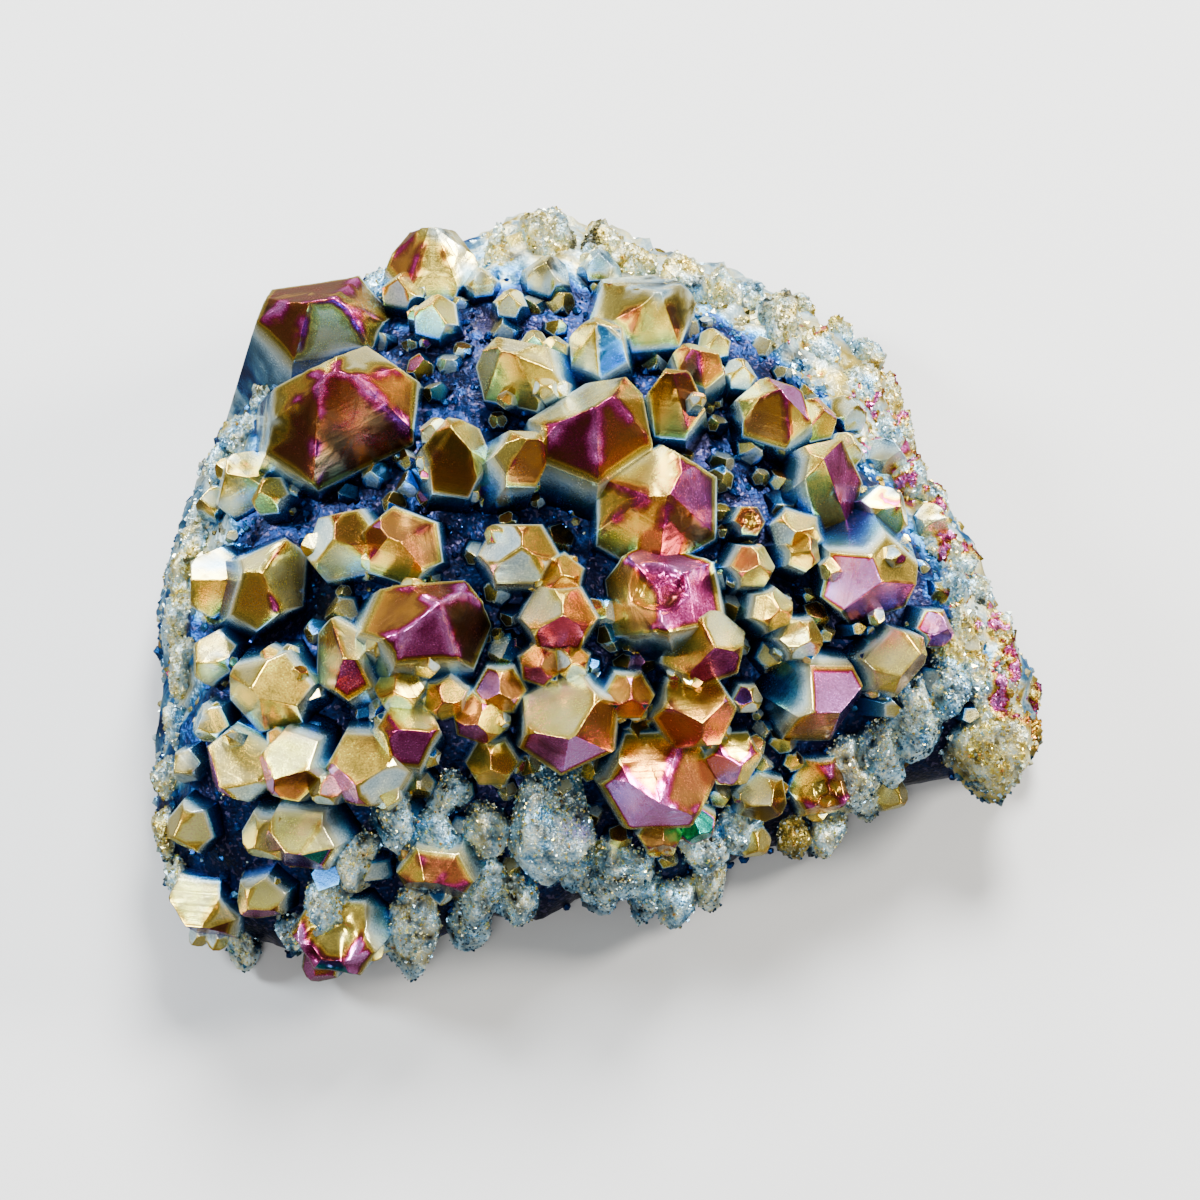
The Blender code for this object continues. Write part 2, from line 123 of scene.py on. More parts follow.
class Grit:
    """Smooth random values through space, drawn once on a lattice that repeats.

    The value at a point is the mix of the eight lattice values round it, with smooth weights.
    """

    SIZE = 32
    STRENGTH = 0.6
    LAYER_SHIFT = 7.3

    def __init__(self, seed: int) -> None:
        """Draw the lattice from this seed."""
        self.lattice = np.random.default_rng(seed).uniform(-1.0, 1.0, (self.SIZE,) * 3)

    def single(self, points: Array) -> Array:
        """Read the field, one lattice cell for each unit of length.

        Args:
            points: Points in cells.

        Returns:
            A value between -1 and 1 at each point.
        """
        cell = np.floor(points).astype(int)
        part = points - cell
        part = part * part * (3.0 - 2.0 * part)
        total = np.zeros(points.shape[:-1])
        for corner in np.ndindex(2, 2, 2):
            index = (cell + corner) % self.SIZE
            share = np.where(np.array(corner) == 1, part, 1.0 - part).prod(axis=-1)
            total += share * self.lattice[index[..., 0], index[..., 1], index[..., 2]]
        return total

    def layered(self, points: Array, noise: Noise) -> Array:
        """Sum of layers, each half as coarse and half as strong as the one before.

        Args:
            points: Points in millimetres.
            noise: How far the field is shifted, its coarsest grain in millimetres, its layers,
                and the spread and level that its values of about -1 to 1 are given.

        Returns:
            The value at each point.
        """
        total, strength = np.zeros(points.shape[:-1]), self.STRENGTH
        for layer in range(noise.layers):
            place = (points + noise.shift) * (2.0**layer) / noise.size + self.LAYER_SHIFT * layer
            total += strength * self.single(place)
            strength *= 0.5
        return noise.level + noise.spread * total


# ---- layout of the whole piece


@dataclass(frozen=True)
class SlantedPlane:
    """The drawing plane and the eye in front of it."""

    rise: float = math.radians(66.0)
    eye: float = 225.0
    origin: Triple = (-0.17, -4.79, 12.0)

    @property
    def axes(self) -> Array:
        """Unit vectors to the right, up the slope and toward the eye, as rows."""
        sine, cosine = math.sin(self.rise), math.cos(self.rise)
        return np.array([[1.0, 0.0, 0.0], [0.0, sine, cosine], [0.0, -cosine, sine]])

    def on_sight_line(self, u: Array, v: Array, height: Array) -> Array:
        """Points on the lines from the eye through places on the plane.

        Args:
            u: Places to the right on the drawing plane.
            v: Places up the slope.
            height: Heights over the plane.

        Returns:
            The points, in millimetres.
        """
        u, v, height = np.broadcast_arrays(u, v, height)
        right, up, toward = self.axes
        narrow = 1.0 - height[..., None] / self.eye
        spread = u[..., None] * right + v[..., None] * up
        return np.array(self.origin) + spread * narrow + height[..., None] * toward

    def seen_at(self, points: Array) -> tuple[Array, Array, Array]:
        """Where on the drawing plane points appear.

        Args:
            points: Points in millimetres.

        Returns:
            The places u and v, and the heights over the plane.
        """
        right, up, toward = self.axes
        away = points - np.array(self.origin)
        height = away @ toward
        narrow = 1.0 - height / self.eye
        return (away @ right) / narrow, (away @ up) / narrow, height

    def at_level(self, u: Array, v: Array, z: Array) -> Array:
        """Points where the lines of sight cross a level.

        Args:
            u: Places to the right on the drawing plane.
            v: Places up the slope.
            z: The level of each.

        Returns:
            The points, in millimetres.
        """
        sine, cosine = math.sin(self.rise), math.cos(self.rise)
        height = (z - self.origin[2] - v * cosine) / (sine - v * cosine / self.eye)
        return self.on_sight_line(u, v, height)

    def frame_of(self, lean_u: Array, lean_v: Array) -> Array:
        """Directions of growths that lean.

        Args:
            lean_u: Share of the axis that points to the right.
            lean_v: Share of the axis that points up the slope.

        Returns:
            Three unit vectors for each, the last along its length.
        """
        right, up, toward = self.axes
        lean_u, lean_v = np.asarray(lean_u)[..., None], np.asarray(lean_v)[..., None]
        lean_w = np.sqrt(np.clip(1.0 - lean_u**2 - lean_v**2, 0.0, 1.0))
        axis = lean_u * right + lean_v * up + lean_w * toward
        first = unit(right - axis * (axis @ right)[..., None])
        return np.stack([first, np.cross(axis, first), axis], axis=-2)


PLANE = SlantedPlane()


@dataclass(frozen=True)
class Dome:
    """The lump of matrix on which everything has grown."""

    summit: Triple = (-5.17, 2.0, 19.5)
    fullness: float = 0.62
    rim_level: float = 4.5
    rim_rise: float = 0.10
    skirt_fall: float = 1.3
    reach: Floats = (
        27.4, 25.9, 24.3, 23.7, 24.4, 24.7, 24.4, 24.7, 24.7,
        25.8, 27.3, 26.7, 27.4, 28.4, 29.8, 28.1, 29.2, 29.5,
        30.6, 30.5, 32.8, 35.0, 34.4, 31.6, 27.0, 22.8, 21.6,
        19.3, 20.6, 20.3, 19.8, 20.9, 21.6, 24.2, 30.5, 30.5,
    )
    drop_top: float = 30.0
    drop_step: float = 0.025

    def rim_table(self) -> tuple[Array, Array, Array]:
        """The rim about the summit.

        Returns:
            Bearings in order, reaches and heights.
        """
        angle = math.tau * np.arange(len(self.reach)) / len(self.reach)
        u, v = self.reach * np.cos(angle), self.reach * np.sin(angle)
        points = PLANE.at_level(u, v, self.rim_level + self.rim_rise * v)
        east, north = points[:, 0] - self.summit[0], points[:, 1] - self.summit[1]
        order = np.argsort(np.arctan2(north, east))
        return np.arctan2(north, east)[order], np.hypot(east, north)[order], points[order, 2]

    def rim_at(self, bearing: Array) -> tuple[Array, Array]:
        """The rim in some directions.

        Args:
            bearing: Direction from the summit, in radians.

        Returns:
            Reach and level of the rim in each direction.
        """
        bearings, radii, levels = self.rim_table()
        reach = np.interp(bearing, bearings, radii, period=math.tau)
        return reach, np.interp(bearing, bearings, levels, period=math.tau)

    def outline(self, angle: Array) -> Array:
        """Reach of the rim on the drawing plane at each angle in degrees."""
        count = len(self.reach)
        return np.interp(angle / (360.0 / count), range(count + 1), self.reach + self.reach[:1])

    def around(self, bearing: Array, radius: Array) -> tuple[Array, Array]:
        """Places x and y in these directions and this far from the summit."""
        return self.summit[0] + radius * np.cos(bearing), self.summit[1] + radius * np.sin(bearing)

    def level_at(self, share: Array, level: Array) -> Array:
        """Height of the dome this share of the way from the summit to a rim at this level."""
        inside = np.clip(1.0 - share**2, 0.0, 1.0)
        return level + (self.summit[2] - level) * inside**self.fullness

    def ground(self, x: Array, y: Array) -> Array:
        """Height of the matrix, which falls away past the rim as a skirt.

        Args:
            x: Places along the width.
            y: Places along the depth.

        Returns:
            The height over each place.
        """
        east, north = x - self.summit[0], y - self.summit[1]
        distance = np.hypot(east, north)
        reach, level = self.rim_at(np.arctan2(north, east))
        beyond = np.maximum(distance - reach, 0.0)
        share = np.minimum(distance / reach, 1.0)
        return self.level_at(share, level) - self.skirt_fall * beyond

    def height_over(self, points: Array) -> Array:
        """How far points stand over the matrix."""
        return points[..., 2] - self.ground(points[..., 0], points[..., 1])

    def drop(self, u: Array, v: Array) -> Array:
        """Where the lines of sight meet the matrix.

        Args:
            u: Places to the right on the drawing plane.
            v: Places up the slope.

        Returns:
            The height over the drawing plane for each line.
        """
        heights = np.arange(self.drop_top, -self.drop_top, -self.drop_step)
        points = PLANE.on_sight_line(np.atleast_1d(u)[:, None], np.atleast_1d(v)[:, None], heights)
        under = points[..., 2] <= self.ground(points[..., 0], points[..., 1])
        return heights[np.argmax(under, axis=1)]

    def facing(self, x: Array, y: Array, step: float = 0.2) -> Array:
        """Which way the dome faces.

        Args:
            x: Places along the width.
            y: Places along the depth.
            step: How far apart the slope is measured.

        Returns:
            Outward unit normals.
        """
        slope_x = (self.ground(x + step, y) - self.ground(x - step, y)) / (2 * step)
        slope_y = (self.ground(x, y + step) - self.ground(x, y - step)) / (2 * step)
        return unit(np.stack([-slope_x, -slope_y, np.ones_like(slope_x)], axis=-1))


DOME = Dome()


@dataclass(frozen=True)
class Crust:
    """Pale crust along parts of the rim, over whatever stands there.

    Its share rises between two shares of the way to the rim and between two levels, and is scaled
    by knots round the piece. Rosy patches, and dark pits painted as shade, are laid into it by
    noise.
    """

    ways: Pair = (0.80, 0.96)
    levels: Pair = (0.5, 3.6)
    angles: Floats = (-25, -10, 15, 30, 60, 100, 118, 140, 150, 195, 215, 335)
    shares: Floats = (0.0, 0.75, 0.8, 0.9, 1.0, 1.0, 0.3, 0.1, 0.6, 0.6, 0.0, 0.0)
    edge: Noise = Noise(11.0, 1.7, 3, 0.5)
    edge_rise: Pair = (0.25, 0.75)
    coat: Noise = Noise(17.0, 1.8, 3, 0.16, 0.45)
    rosy: Noise = Noise(31.0, 1.2, 3)
    rosy_angles: Floats = (-30, 30, 60, 300)
    rosy_limits: Floats = (0.07, 0.11, 0.5, 0.6)
    rosy_rise: Pair = (-0.04, 0.24)
    rosy_coat: float = 0.82
    pits: Noise = Noise(23.0, 1.5, 3)
    pit_rise: Pair = (0.15, 0.5)
    pit_shade: float = 0.5
    tone: Noise = Noise(27.0, 1.2, 2, 0.4, 0.62)
    least_tone: float = 0.1

    @staticmethod
    def bearing(points: Array) -> Array:
        """Direction of each point on the drawing plane, in degrees."""
        u, v, _ = PLANE.seen_at(points)
        return np.degrees(np.arctan2(v, u)) % 360.0

    def share(self, points: Array) -> Array:
        """How much of the crust lies at each point.

        Args:
            points: Points in millimetres.

        Returns:
            A share between 0 and 1 for each.
        """
        u, v, _ = PLANE.seen_at(points)
        angle = self.bearing(points)
        held = np.interp(angle, self.angles, self.shares, period=360.0)
        held = held * smooth_step(*self.levels, points[..., 2])
        return held * smooth_step(*self.ways, np.hypot(u, v) / DOME.outline(angle))

    def over(self, points: Array, coat: Array, tone: Array, grit: Grit) -> tuple[Array, Array]:
        """Lay the crust over a coat.

        Args:
            points: Points in millimetres.
            coat: Their coat.
            tone: Their tone.
            grit: Random values through space.

        Returns:
            The new coat and tone.
        """
        share = smooth_step(*self.edge_rise, self.share(points) + grit.layered(points, self.edge))
        own_coat = grit.layered(points, self.coat)
        limit = np.interp(self.bearing(points), self.rosy_angles, self.rosy_limits, period=360.0)
        blush = smooth_step(*self.rosy_rise, grit.layered(points, self.rosy) - limit)
        own_coat = own_coat + (self.rosy_coat - own_coat) * blush
        # Painted shade of pits: the tone darkens where the pit noise is high.
        dark = self.pit_shade * smooth_step(*self.pit_rise, grit.layered(points, self.pits))
        own_tone = np.maximum(grit.layered(points, self.tone) - dark, self.least_tone)
        return coat + (own_coat - coat) * share, tone + (own_tone - tone) * share


CRUST = Crust()


# ---- coat of the facets


class Coat(Enum):
    """Named coats: the letter that the rows use, the place in the row of film colours, the tone.

    The tone is how bright the facet is painted: partly the film's own colour and partly painted
    light and shade, so a bright tone is partly a painted highlight and a dark one partly painted
    shade.
    """

    NAVY = ("n", 0.12, 0.6)
    SKY = ("s", 0.31, 0.9)
    SMOKE = ("e", 0.375, 0.78)
    SLATE = ("d", 0.55, 0.13)
    WHITE = ("w", 0.405, 1.0)
    CREAM = ("c", 0.44, 0.85)
    YELLOW = ("y", 0.495, 1.0)
    KHAKI = ("k", 0.57, 0.66)
    AMBER = ("a", 0.67, 0.7)
    GOLD = ("g", 0.64, 1.0)
    BROWN = ("b", 0.705, 0.28)
    ORANGE = ("o", 0.668, 0.9)
    PINK = ("p", 0.82, 1.0)
    RUSSET = ("r", 0.722, 0.30)
    MAROON = ("m", 0.768, 0.44)
    VIOLET = ("v", 0.905, 0.5)
    TEAL = ("t", 0.97, 0.5)

    @classmethod
    def of(cls, letters: str) -> Array:
        """Coat and tone of each letter, one row for each."""
        table = {letter: tint for letter, *tint in (item.value for item in cls)}
        return np.array([table[letter] for letter in letters])


# ---- surfaces into meshes


class Box(NamedTuple):
    """Lowest and highest corner, in millimetres, between which every mesh is held."""

    low: Array
    high: Array


def linked(name: str, data: bpy.types.ID) -> bpy.types.Object:
    """Put new data into the scene.

    Args:
        name: Name of the object.
        data: Its data.

    Returns:
        The new object.
    """
    obj = bpy.data.objects.new(name, data)
    bpy.context.scene.collection.objects.link(obj)
    return obj


@dataclass
class Patch:
    """A piece of surface with the values that its finish reads."""

    points: Array
    coat: Array
    tone: Array
    grow: Array
    quads: Array = field(default_factory=lambda: np.zeros((0, 4), int))
    triangles: Array = field(default_factory=lambda: np.zeros((0, 3), int))


def ring_faces(columns: int, rings: int, first: int) -> Array:
    """Quads between rings of points that each go round in the same direction.

    Args:
        columns: How many points each ring has.
        rings: How many rings there are.
        first: Index of the first point of the first ring.

    Returns:
        One row of four point indices for each quad, wound outwards from ring to ring.
    """
    here = first + np.arange(columns)
    after = first + (np.arange(columns) + 1) % columns
    steps = columns * np.arange(rings - 1)[:, None]
    outer = steps + columns
    quads = [here + steps, here + outer, after + outer, after + steps]
    return np.stack(quads, axis=-1).reshape(-1, 4)


def fan_faces(columns: int, centre: int, first: int) -> Array:
    """Triangles from a centre point to a ring of points."""
    here, after = np.arange(columns), (np.arange(columns) + 1) % columns
    return np.column_stack([np.full(columns, centre), first + here, first + after])


def globe_faces(columns: int, rings: int) -> tuple[Array, Array]:
    """Faces of rings of points that close at a first and a last point.

    Args:
        columns: How many points each ring has.
        rings: How many rings there are.

    Returns:
        Quads and triangles, wound outwards.
    """
    last = 1 + (rings - 1) * columns
    triangles = np.vstack([
        fan_faces(columns, 0, 1),
        fan_faces(columns, last + columns, last)[:, [0, 2, 1]],
    ])
    return ring_faces(columns, rings, 1), triangles


@dataclass(frozen=True)
class Piece(ABC):
    """A sub-assembly that becomes one object, shaded as rounded surfaces if it is smooth."""

    SMOOTH = True

    name: str

    @abstractmethod
    def patches(self, box: Box) -> list[Patch]:
        """The surfaces of the piece."""

    def build(self, box: Box) -> bpy.types.Object:
        """Make the mesh and its named values.

        Args:
            box: What the points are held within.

        Returns:
            The new object, at the origin, linked to the scene.
        """
        faces: list[list[int]] = []
        start, patches = 0, self.patches(box)
        for patch in patches:
            faces += (patch.quads + start).tolist() + (patch.triangles + start).tolist()
            start += len(patch.points)
        points = np.clip(np.concatenate([patch.points for patch in patches]), *box) * MM
        mesh = bpy.data.meshes.new(self.name)
        mesh.from_pydata(points.tolist(), [], faces)
        for key in ("coat", "tone", "grow"):
            values = np.concatenate([getattr(patch, key) for patch in patches])
            layer = mesh.attributes.new(key, "FLOAT", "POINT")
            layer.data.foreach_set("value", values.astype(np.float32))
        mesh.polygons.foreach_set("use_smooth", [self.SMOOTH] * len(mesh.polygons))
        mesh.validate()
        mesh.update()
        return linked(self.name, mesh)


# ---- quartz points


@dataclass(frozen=True)
class Habit:
    """The shape that every quartz point shares.

    Lengths and heights are in millimetres. Bands go by the width of the point, the steps of the
    cuts and the depth of the hollow by half of it.
    """

    tip_slope: float = math.radians(51.8)
    cut_step: float = 0.15
    cut_uneven: Floats = (0.0, 0.37, 0.12, 0.45, 0.21, 0.3)
    root_length: float = 1.0
    root_per_width: float = 0.45
    taper: float = math.radians(9.0)
    tip_band: float = 0.12
    ridge_band: float = 0.09
    grain: Noise = Noise(0.0, 0.55, 3)
    grain_height: float = 0.006
    ridge_height: float = 0.16
    terrace: Noise = Noise(40.0, 1.6, 2)
    terrace_height: float = 0.05
    terrace_steps: int = 4
    hollow_rim: Pair = (1.0, 0.55)
    hollow_edge: Noise = Noise(0.0, 1.2, 2, 0.25)
    hollow_depth: float = 0.42


@dataclass(frozen=True)
class Film:
    """How the metal film lies over every quartz point, with the light and shade painted into its
    tone.

    Heights are in millimetres and bands go by the width of the point. A pair is a level and a
    spread, or the two ends of a rise.
    """

    depths: Floats = (0.0, 0.7, 1.4, 2.2, 3.2, 4.6)
    coats: Floats = (0.50, 0.44, 0.38, 0.31, 0.23, 0.13)
    thinning: Pair = (0.45, 0.11)
    heights: Floats = (0.0, 0.5, 1.2, 2.2, 3.4)
    limits: Floats = (0.08, 0.15, 0.27, 0.41, 0.50)
    foot_painted_shade: float = 0.30
    foot_height: float = 2.4
    side_painted_light: Pair = (0.60, 0.30)
    painted_light_bearing: float = math.radians(75.0)
    shoulder_band: float = 0.06
    tip_band: float = 0.06
    fade_coat: float = 0.13
    fade_painted_reflection: float = 0.35
    fade_limit: float = 0.9
    steadier: tuple[Triple, ...] = ((0.5, 0.54, 0.60), (0.3, 0.66, 0.70))
    sway: Pair = (1.7, 2.4)
    drift: Noise = Noise(61.0, 1.8, 2, 0.8, 0.5)
    ridge_band: float = 0.055
    ridge_widths: Pair = (0.3, 0.8)
    ridge_edge: Noise = Noise(71.0, 0.6, 2, 0.25)
    ridge_rise: Pair = (0.15, 0.95)
    ridge_goals: Pair = (0.60, 0.825)
    goal_rise: Pair = (0.4, 0.9)
    ridge_share: Pair = (0.22, 0.75)
    ridge_painted_highlight: float = 0.6
    hollow_coat: float = 0.06
    hollow_painted_shade: float = 0.45


HABIT, FILM = Habit(), Film()
SIDES = 6
ROOT_FACE = 2 * SIDES


@dataclass(frozen=True)
class Point:
    """One quartz point: a six-sided prism with a slanted face over each side at its tip.

    A point of a facet is P(t, s) = middle + s (edge(t) - middle), where edge(t) runs round the
    facet and s goes from 0 to 1. The last two steps of s lie a fixed distance from the edge, and
    the edge itself is drawn in a little, which rounds it.

    The digits of cuts, in base 36, say how deep each tip face is cut, and the letters of coats
    how it is coated and how bright it is painted, which holds painted light and shade as well as
    the film's colour.
    and the rise is its height over the matrix along the line of sight.
    """

    u: float
    v: float
    width: float
    rise: float
    lean_u: float
    lean_v: float
    spin: float
    coats: str
    cuts: str = "303030"
    stretch: float = 1.0
    ridge: float = 0.3
    hollow: float = 0.0
    stem: float = 0.0

    @property
    def half(self) -> float:
        """Half of the width across the flats."""
        return self.width / 2

    @property
    def root(self) -> float:
        """How far the prism goes down from its shoulder, into the matrix unless a stem is set."""
        return self.stem or self.rise + HABIT.root_length + HABIT.root_per_width * self.width

    @property
    def centre(self) -> Array:
        """Middle of the shoulder, in its place."""
        height = DOME.drop(self.u, self.v)[0] + self.rise
        return PLANE.on_sight_line(self.u, self.v, height).reshape(3)

    @property
    def bearings(self) -> Array:
        """Directions in which the prism faces look, in radians."""
        return np.radians(self.spin + 360.0 / SIDES * np.arange(SIDES))

    def planes(self) -> tuple[Array, Array]:
        """The planes that bound the point.

        Returns:
            Outward normals and distances of prism faces, tip faces and root face.
        """
        angle = self.bearings
        side = np.column_stack([np.cos(angle), np.sin(angle), np.zeros(SIDES)])
        stretch = np.where(np.arange(SIDES) % (SIDES // 2) == 0, 1.0, self.stretch)
        sine, cosine = math.sin(HABIT.tip_slope), math.cos(HABIT.tip_slope)
        steps = np.array([int(digit, 36) for digit in self.cuts]) + np.array(HABIT.cut_uneven)
        tip = self.half * (math.tan(HABIT.tip_slope) - HABIT.cut_step * steps)
        rise = np.array([0.0, 0.0, 1.0])
        flank = side * math.cos(HABIT.taper) + rise * math.sin(HABIT.taper)
        normals = np.vstack([flank, side * sine + rise * cosine, [-rise]])
        reach = self.half * stretch * math.cos(HABIT.taper)
        reach = np.concatenate([reach, tip * cosine, [self.root]])
        return normals, reach

    def corners(self, normals: Array, reach: Array) -> tuple[Array, list[Array]]:
        """Corner points of the solid within the planes.

        A corner is where three planes meet, if it lies within all the others.

        Args:
            normals: Outward normals of the planes.
            reach: Their distances.

        Returns:
            The corner points, and which of them each face has, in order round it.
        """
        least_volume, touch, same, on_plane = 1e-6, 1e-6, 1e-3, 2e-3
        triples = np.array(list(combinations(range(len(reach)), 3)))
        systems = normals[triples]
        solid = np.abs(np.linalg.det(systems)) > least_volume
        found = np.linalg.solve(systems[solid], reach[triples[solid]][..., None])[..., 0]
        found = found[(found @ normals.T <= reach + touch).all(axis=1)]
        near = np.linalg.norm(found[:, None] - found[None], axis=-1) < same
        found = found[np.unique(near.argmax(axis=1))]
        faces = []
        for normal, distance in zip(normals, reach):
            index = np.flatnonzero(np.abs(found @ normal - distance) < on_plane)
            if len(index) > 2:
                spokes = found[index] - found[index].mean(axis=0)
                across = unit(spokes[0])
                angle = np.arctan2(spokes @ np.cross(normal, across), spokes @ across)
                index = index[np.argsort(angle)]
            faces.append(index)
        return found, faces

    @staticmethod
    def edge_points(corners: Array, ring: Array, step: float) -> Array:
        """Points along the edge of a face, the same ones for both faces that share an edge.

        Edges that run down the prism are cut into steps twice as long.

        Args:
            corners: Corner points of the solid.
            ring: Which of them the face has, in order.
            step: Length of a mesh edge.

        Returns:
            The points, once round the face.
        """
        runs = []
        for start, stop in zip(ring, np.roll(ring, -1)):
            low, high = min(start, stop), max(start, stop)
            along = corners[high] - corners[low]
            length = np.linalg.norm(along)
            steep = abs(along[2]) > 0.9 * length
            stride = step * (2.0 if steep else 1.0)
            share = np.arange(max(1, math.ceil(length / stride)) + 1)
            share = share / share[-1]
            run = corners[low] + along * share[:, None]
            runs.append((run if start == low else run[::-1])[:-1])
        return np.concatenate(runs)

    @staticmethod
    def facet(edge: Array, step: float, bevel: float) -> tuple[Array, int]:
        """Points of one facet, its middle first, then ring by ring.

        The gaps between the rings double from the edge inwards until they are two steps wide.

        Args:
            edge: Points round the facet.
            step: Length of a mesh edge.
            bevel: Width of the rounding along the edges.

        Returns:
            The points and the number of rings.
        """
        middle = edge.mean(axis=0)
        spokes = edge - middle
        length = np.linalg.norm(spokes, axis=1)
        least_stop, innermost = 0.5, 0.85
        stop = np.maximum(1.0 - 2 * bevel / length, least_stop)
        reach, gap, inner = length.mean() - 2 * bevel, max(2 * bevel, step / 3), [0.0]
        while inner[-1] + gap < innermost * reach:
            inner.append(inner[-1] + gap)
            gap = min(2 * gap, 2 * step)
        shares = [stop * (1.0 - depth / reach) for depth in reversed(inner)]
        shares += [(1.0 + stop) / 2, np.ones(len(edge))]
        rings = [middle + spokes * share[:, None] for share in shares]
        return np.vstack([middle[None], *rings]), len(shares)

    def local(self, step: float, bevel: float) -> tuple[Array, Array, Array, Array]:
        """The solid before it is placed.

        Args:
            step: Length of a mesh edge along the facets.
            bevel: Width of the rounding along the edges.

        Returns:
            Points, their normals, quads and triangles.
        """
        normals, reach = self.planes()
        corners, faces = self.corners(normals, reach)
        points, facing, quads, triangles, start = [], [], [], [], 0
        for number, ring in enumerate(faces):
            if len(ring) < 3:
                continue
            edge = self.edge_points(corners, ring, step)
            if number == ROOT_FACE:
                patch, rings = np.vstack([edge.mean(axis=0)[None], edge]), 1
            else:
                patch, rings = self.facet(edge, step, bevel)
            triangles.append(fan_faces(len(edge), start, start + 1))
            quads.append(ring_faces(len(edge), rings, start + 1))
            points.append(patch)
            facing.append(np.tile(normals[number], (len(patch), 1)))
            start += len(patch)
        everything = np.vstack(points)
        _, keep, back = np.unique(
            np.round(everything, 5), axis=0, return_index=True, return_inverse=True
        )
        back = back.ravel()
        count = np.bincount(back)
        mean = [np.bincount(back, weights=column) / count for column in np.vstack(facing).T]
        blunt = np.column_stack(mean)
        tightness = np.sqrt(np.clip(1.0 - (blunt**2).sum(axis=1), 0.0, 1.0))
        normal = unit(blunt)
        placed = everything[keep] - normal * (0.5 * bevel * tightness)[:, None]
        return placed, normal, back[np.vstack(quads)], back[np.vstack(triangles)]

    def film(self, points: Array, placed: Array, grit: Grit) -> tuple[Array, Array]:
        """Coat and tone over the solid.

        The film thins down the prism from the shoulder, and near the matrix, where its navy is
        partly painted shade of the recess. The prism sides are painted lighter toward the light's
        bearing and darker away from it. On a tip face it goes over to the face's own coat within a
        band along the shoulder, and grows toward a thicker one along the ridges, unevenly, where
        the tone is raised as a painted highlight.

        Args:
            points: Points of the solid before it is placed.
            placed: The same points in their place.
            grit: Random values through space.

        Returns:
            The coat and the tone of each point.
        """
        height = DOME.height_over(placed)
        normals, reach = self.planes()
        gaps = reach - points @ normals.T
        prism, tip = gaps[:, :SIDES], gaps[:, SIDES:ROOT_FACE]
        tips = np.sort(tip, axis=1)
        # Painted light and shade: prism sides facing the light's bearing are lighter, those facing
        # away darker.
        level, swing = FILM.side_painted_light
        side_painted_light = level + swing * np.cos(self.bearings - FILM.painted_light_bearing)
        tone = side_painted_light[prism.argmin(axis=1)]
        band = FILM.thinning[0] + FILM.thinning[1] * self.width
        depth = tips[:, 0] / (math.cos(HABIT.tip_slope) * band)
        # Near the matrix the coat is held down toward navy: partly a thinner film, partly painted
        # shade of the recess.
        coat = np.minimum(np.interp(depth, FILM.depths, FILM.coats),
                          np.interp(height, FILM.heights, FILM.limits))
        face = tip.argmin(axis=1)
        share = smooth_step(0.0, FILM.shoulder_band, prism.min(axis=1) / self.width)
        share *= smooth_step(FILM.tip_band, 0.0, tips[:, 0] / self.width)
        own_coat, own_tone = self.face_film(points, face)
        coat = coat + (own_coat - coat) * share
        tone = tone + (own_tone - tone) * share
        drift = np.clip(grit.layered(placed, FILM.drift), 0.0, 1.0)
        narrow, wider = FILM.ridge_widths
        band = FILM.ridge_band * (narrow + wider * self.ridge + drift) * self.width
        ridge = np.exp(-((tips[:, 1] / band) ** 2)) + grit.layered(placed, FILM.ridge_edge)
        ridge = smooth_step(*FILM.ridge_rise, ridge) * share
        thin, thick = FILM.ridge_goals
        goal = smooth_step(*FILM.goal_rise, drift + 0.5 * self.ridge)
        goal = thin + (thick - thin) * goal
        least, most = FILM.ridge_share
        grown = np.clip(least + most * self.ridge, 0.0, 1.0) * ridge
        coat = coat + np.maximum(goal - coat, 0.0) * grown
        # Painted highlight: the tone is raised along the grown ridges, over the thicker film.
        return coat, tone + (1.0 - tone) * FILM.ridge_painted_highlight * grown

    def face_film(self, points: Array, face: Array) -> tuple[Array, Array]:
        """The coat and tone that each tip face has to itself, which fade from its foot up; the
        tone's fade is a painted reflection gradient, lighter or darker toward the top.

        Args:
            points: Points of the solid before it is placed.
            face: Number of the tip face that is nearest to each.

        Returns:
            The coat and the tone of each point.
        """
        own, bright = Coat.of(self.coats)[face].T
        count = np.maximum(np.bincount(face, None, SIDES), 1)
        middle = np.bincount(face, points[:, 2], SIDES) / count
        fade = (points[:, 2] - middle[face]) / self.half
        fade = np.clip(fade, -FILM.fade_limit, FILM.fade_limit)
        steady = 1.0 - sum(fall * smooth_step(*ramp, own) for fall, *ramp in FILM.steadier)
        # The tone fades lighter or darker up each tip face, by a sway set per face: a painted
        # reflection gradient.
        per_spin, per_face = FILM.sway
        sway = np.sin(self.spin * per_spin + per_face * face)
        return own + FILM.fade_coat * fade * steady, bright * (1.0 + FILM.fade_painted_reflection * fade * sway)

    def build(self, step: float, bevel: float, grit: Grit) -> Patch:
        """The placed solid with its ridges roughened and its hollow sunk, its tone darkened near
        the matrix and in the hollow as painted shade.

        Args:
            step: Length of a mesh edge along the facets.
            bevel: Width of the rounding along the edges.
            grit: Random values through space.

        Returns:
            The patch of the whole point.
        """
        points, normal, quads, triangles = self.local(step, bevel)
        normals, reach = self.planes()
        tip = slice(SIDES, ROOT_FACE)
        tips = np.sort(reach[tip] - points @ normals[tip].T, axis=1)
        frame = PLANE.frame_of(self.lean_u, self.lean_v)
        placed = self.centre + points @ frame
        coat, tone = self.film(points, placed, grit)
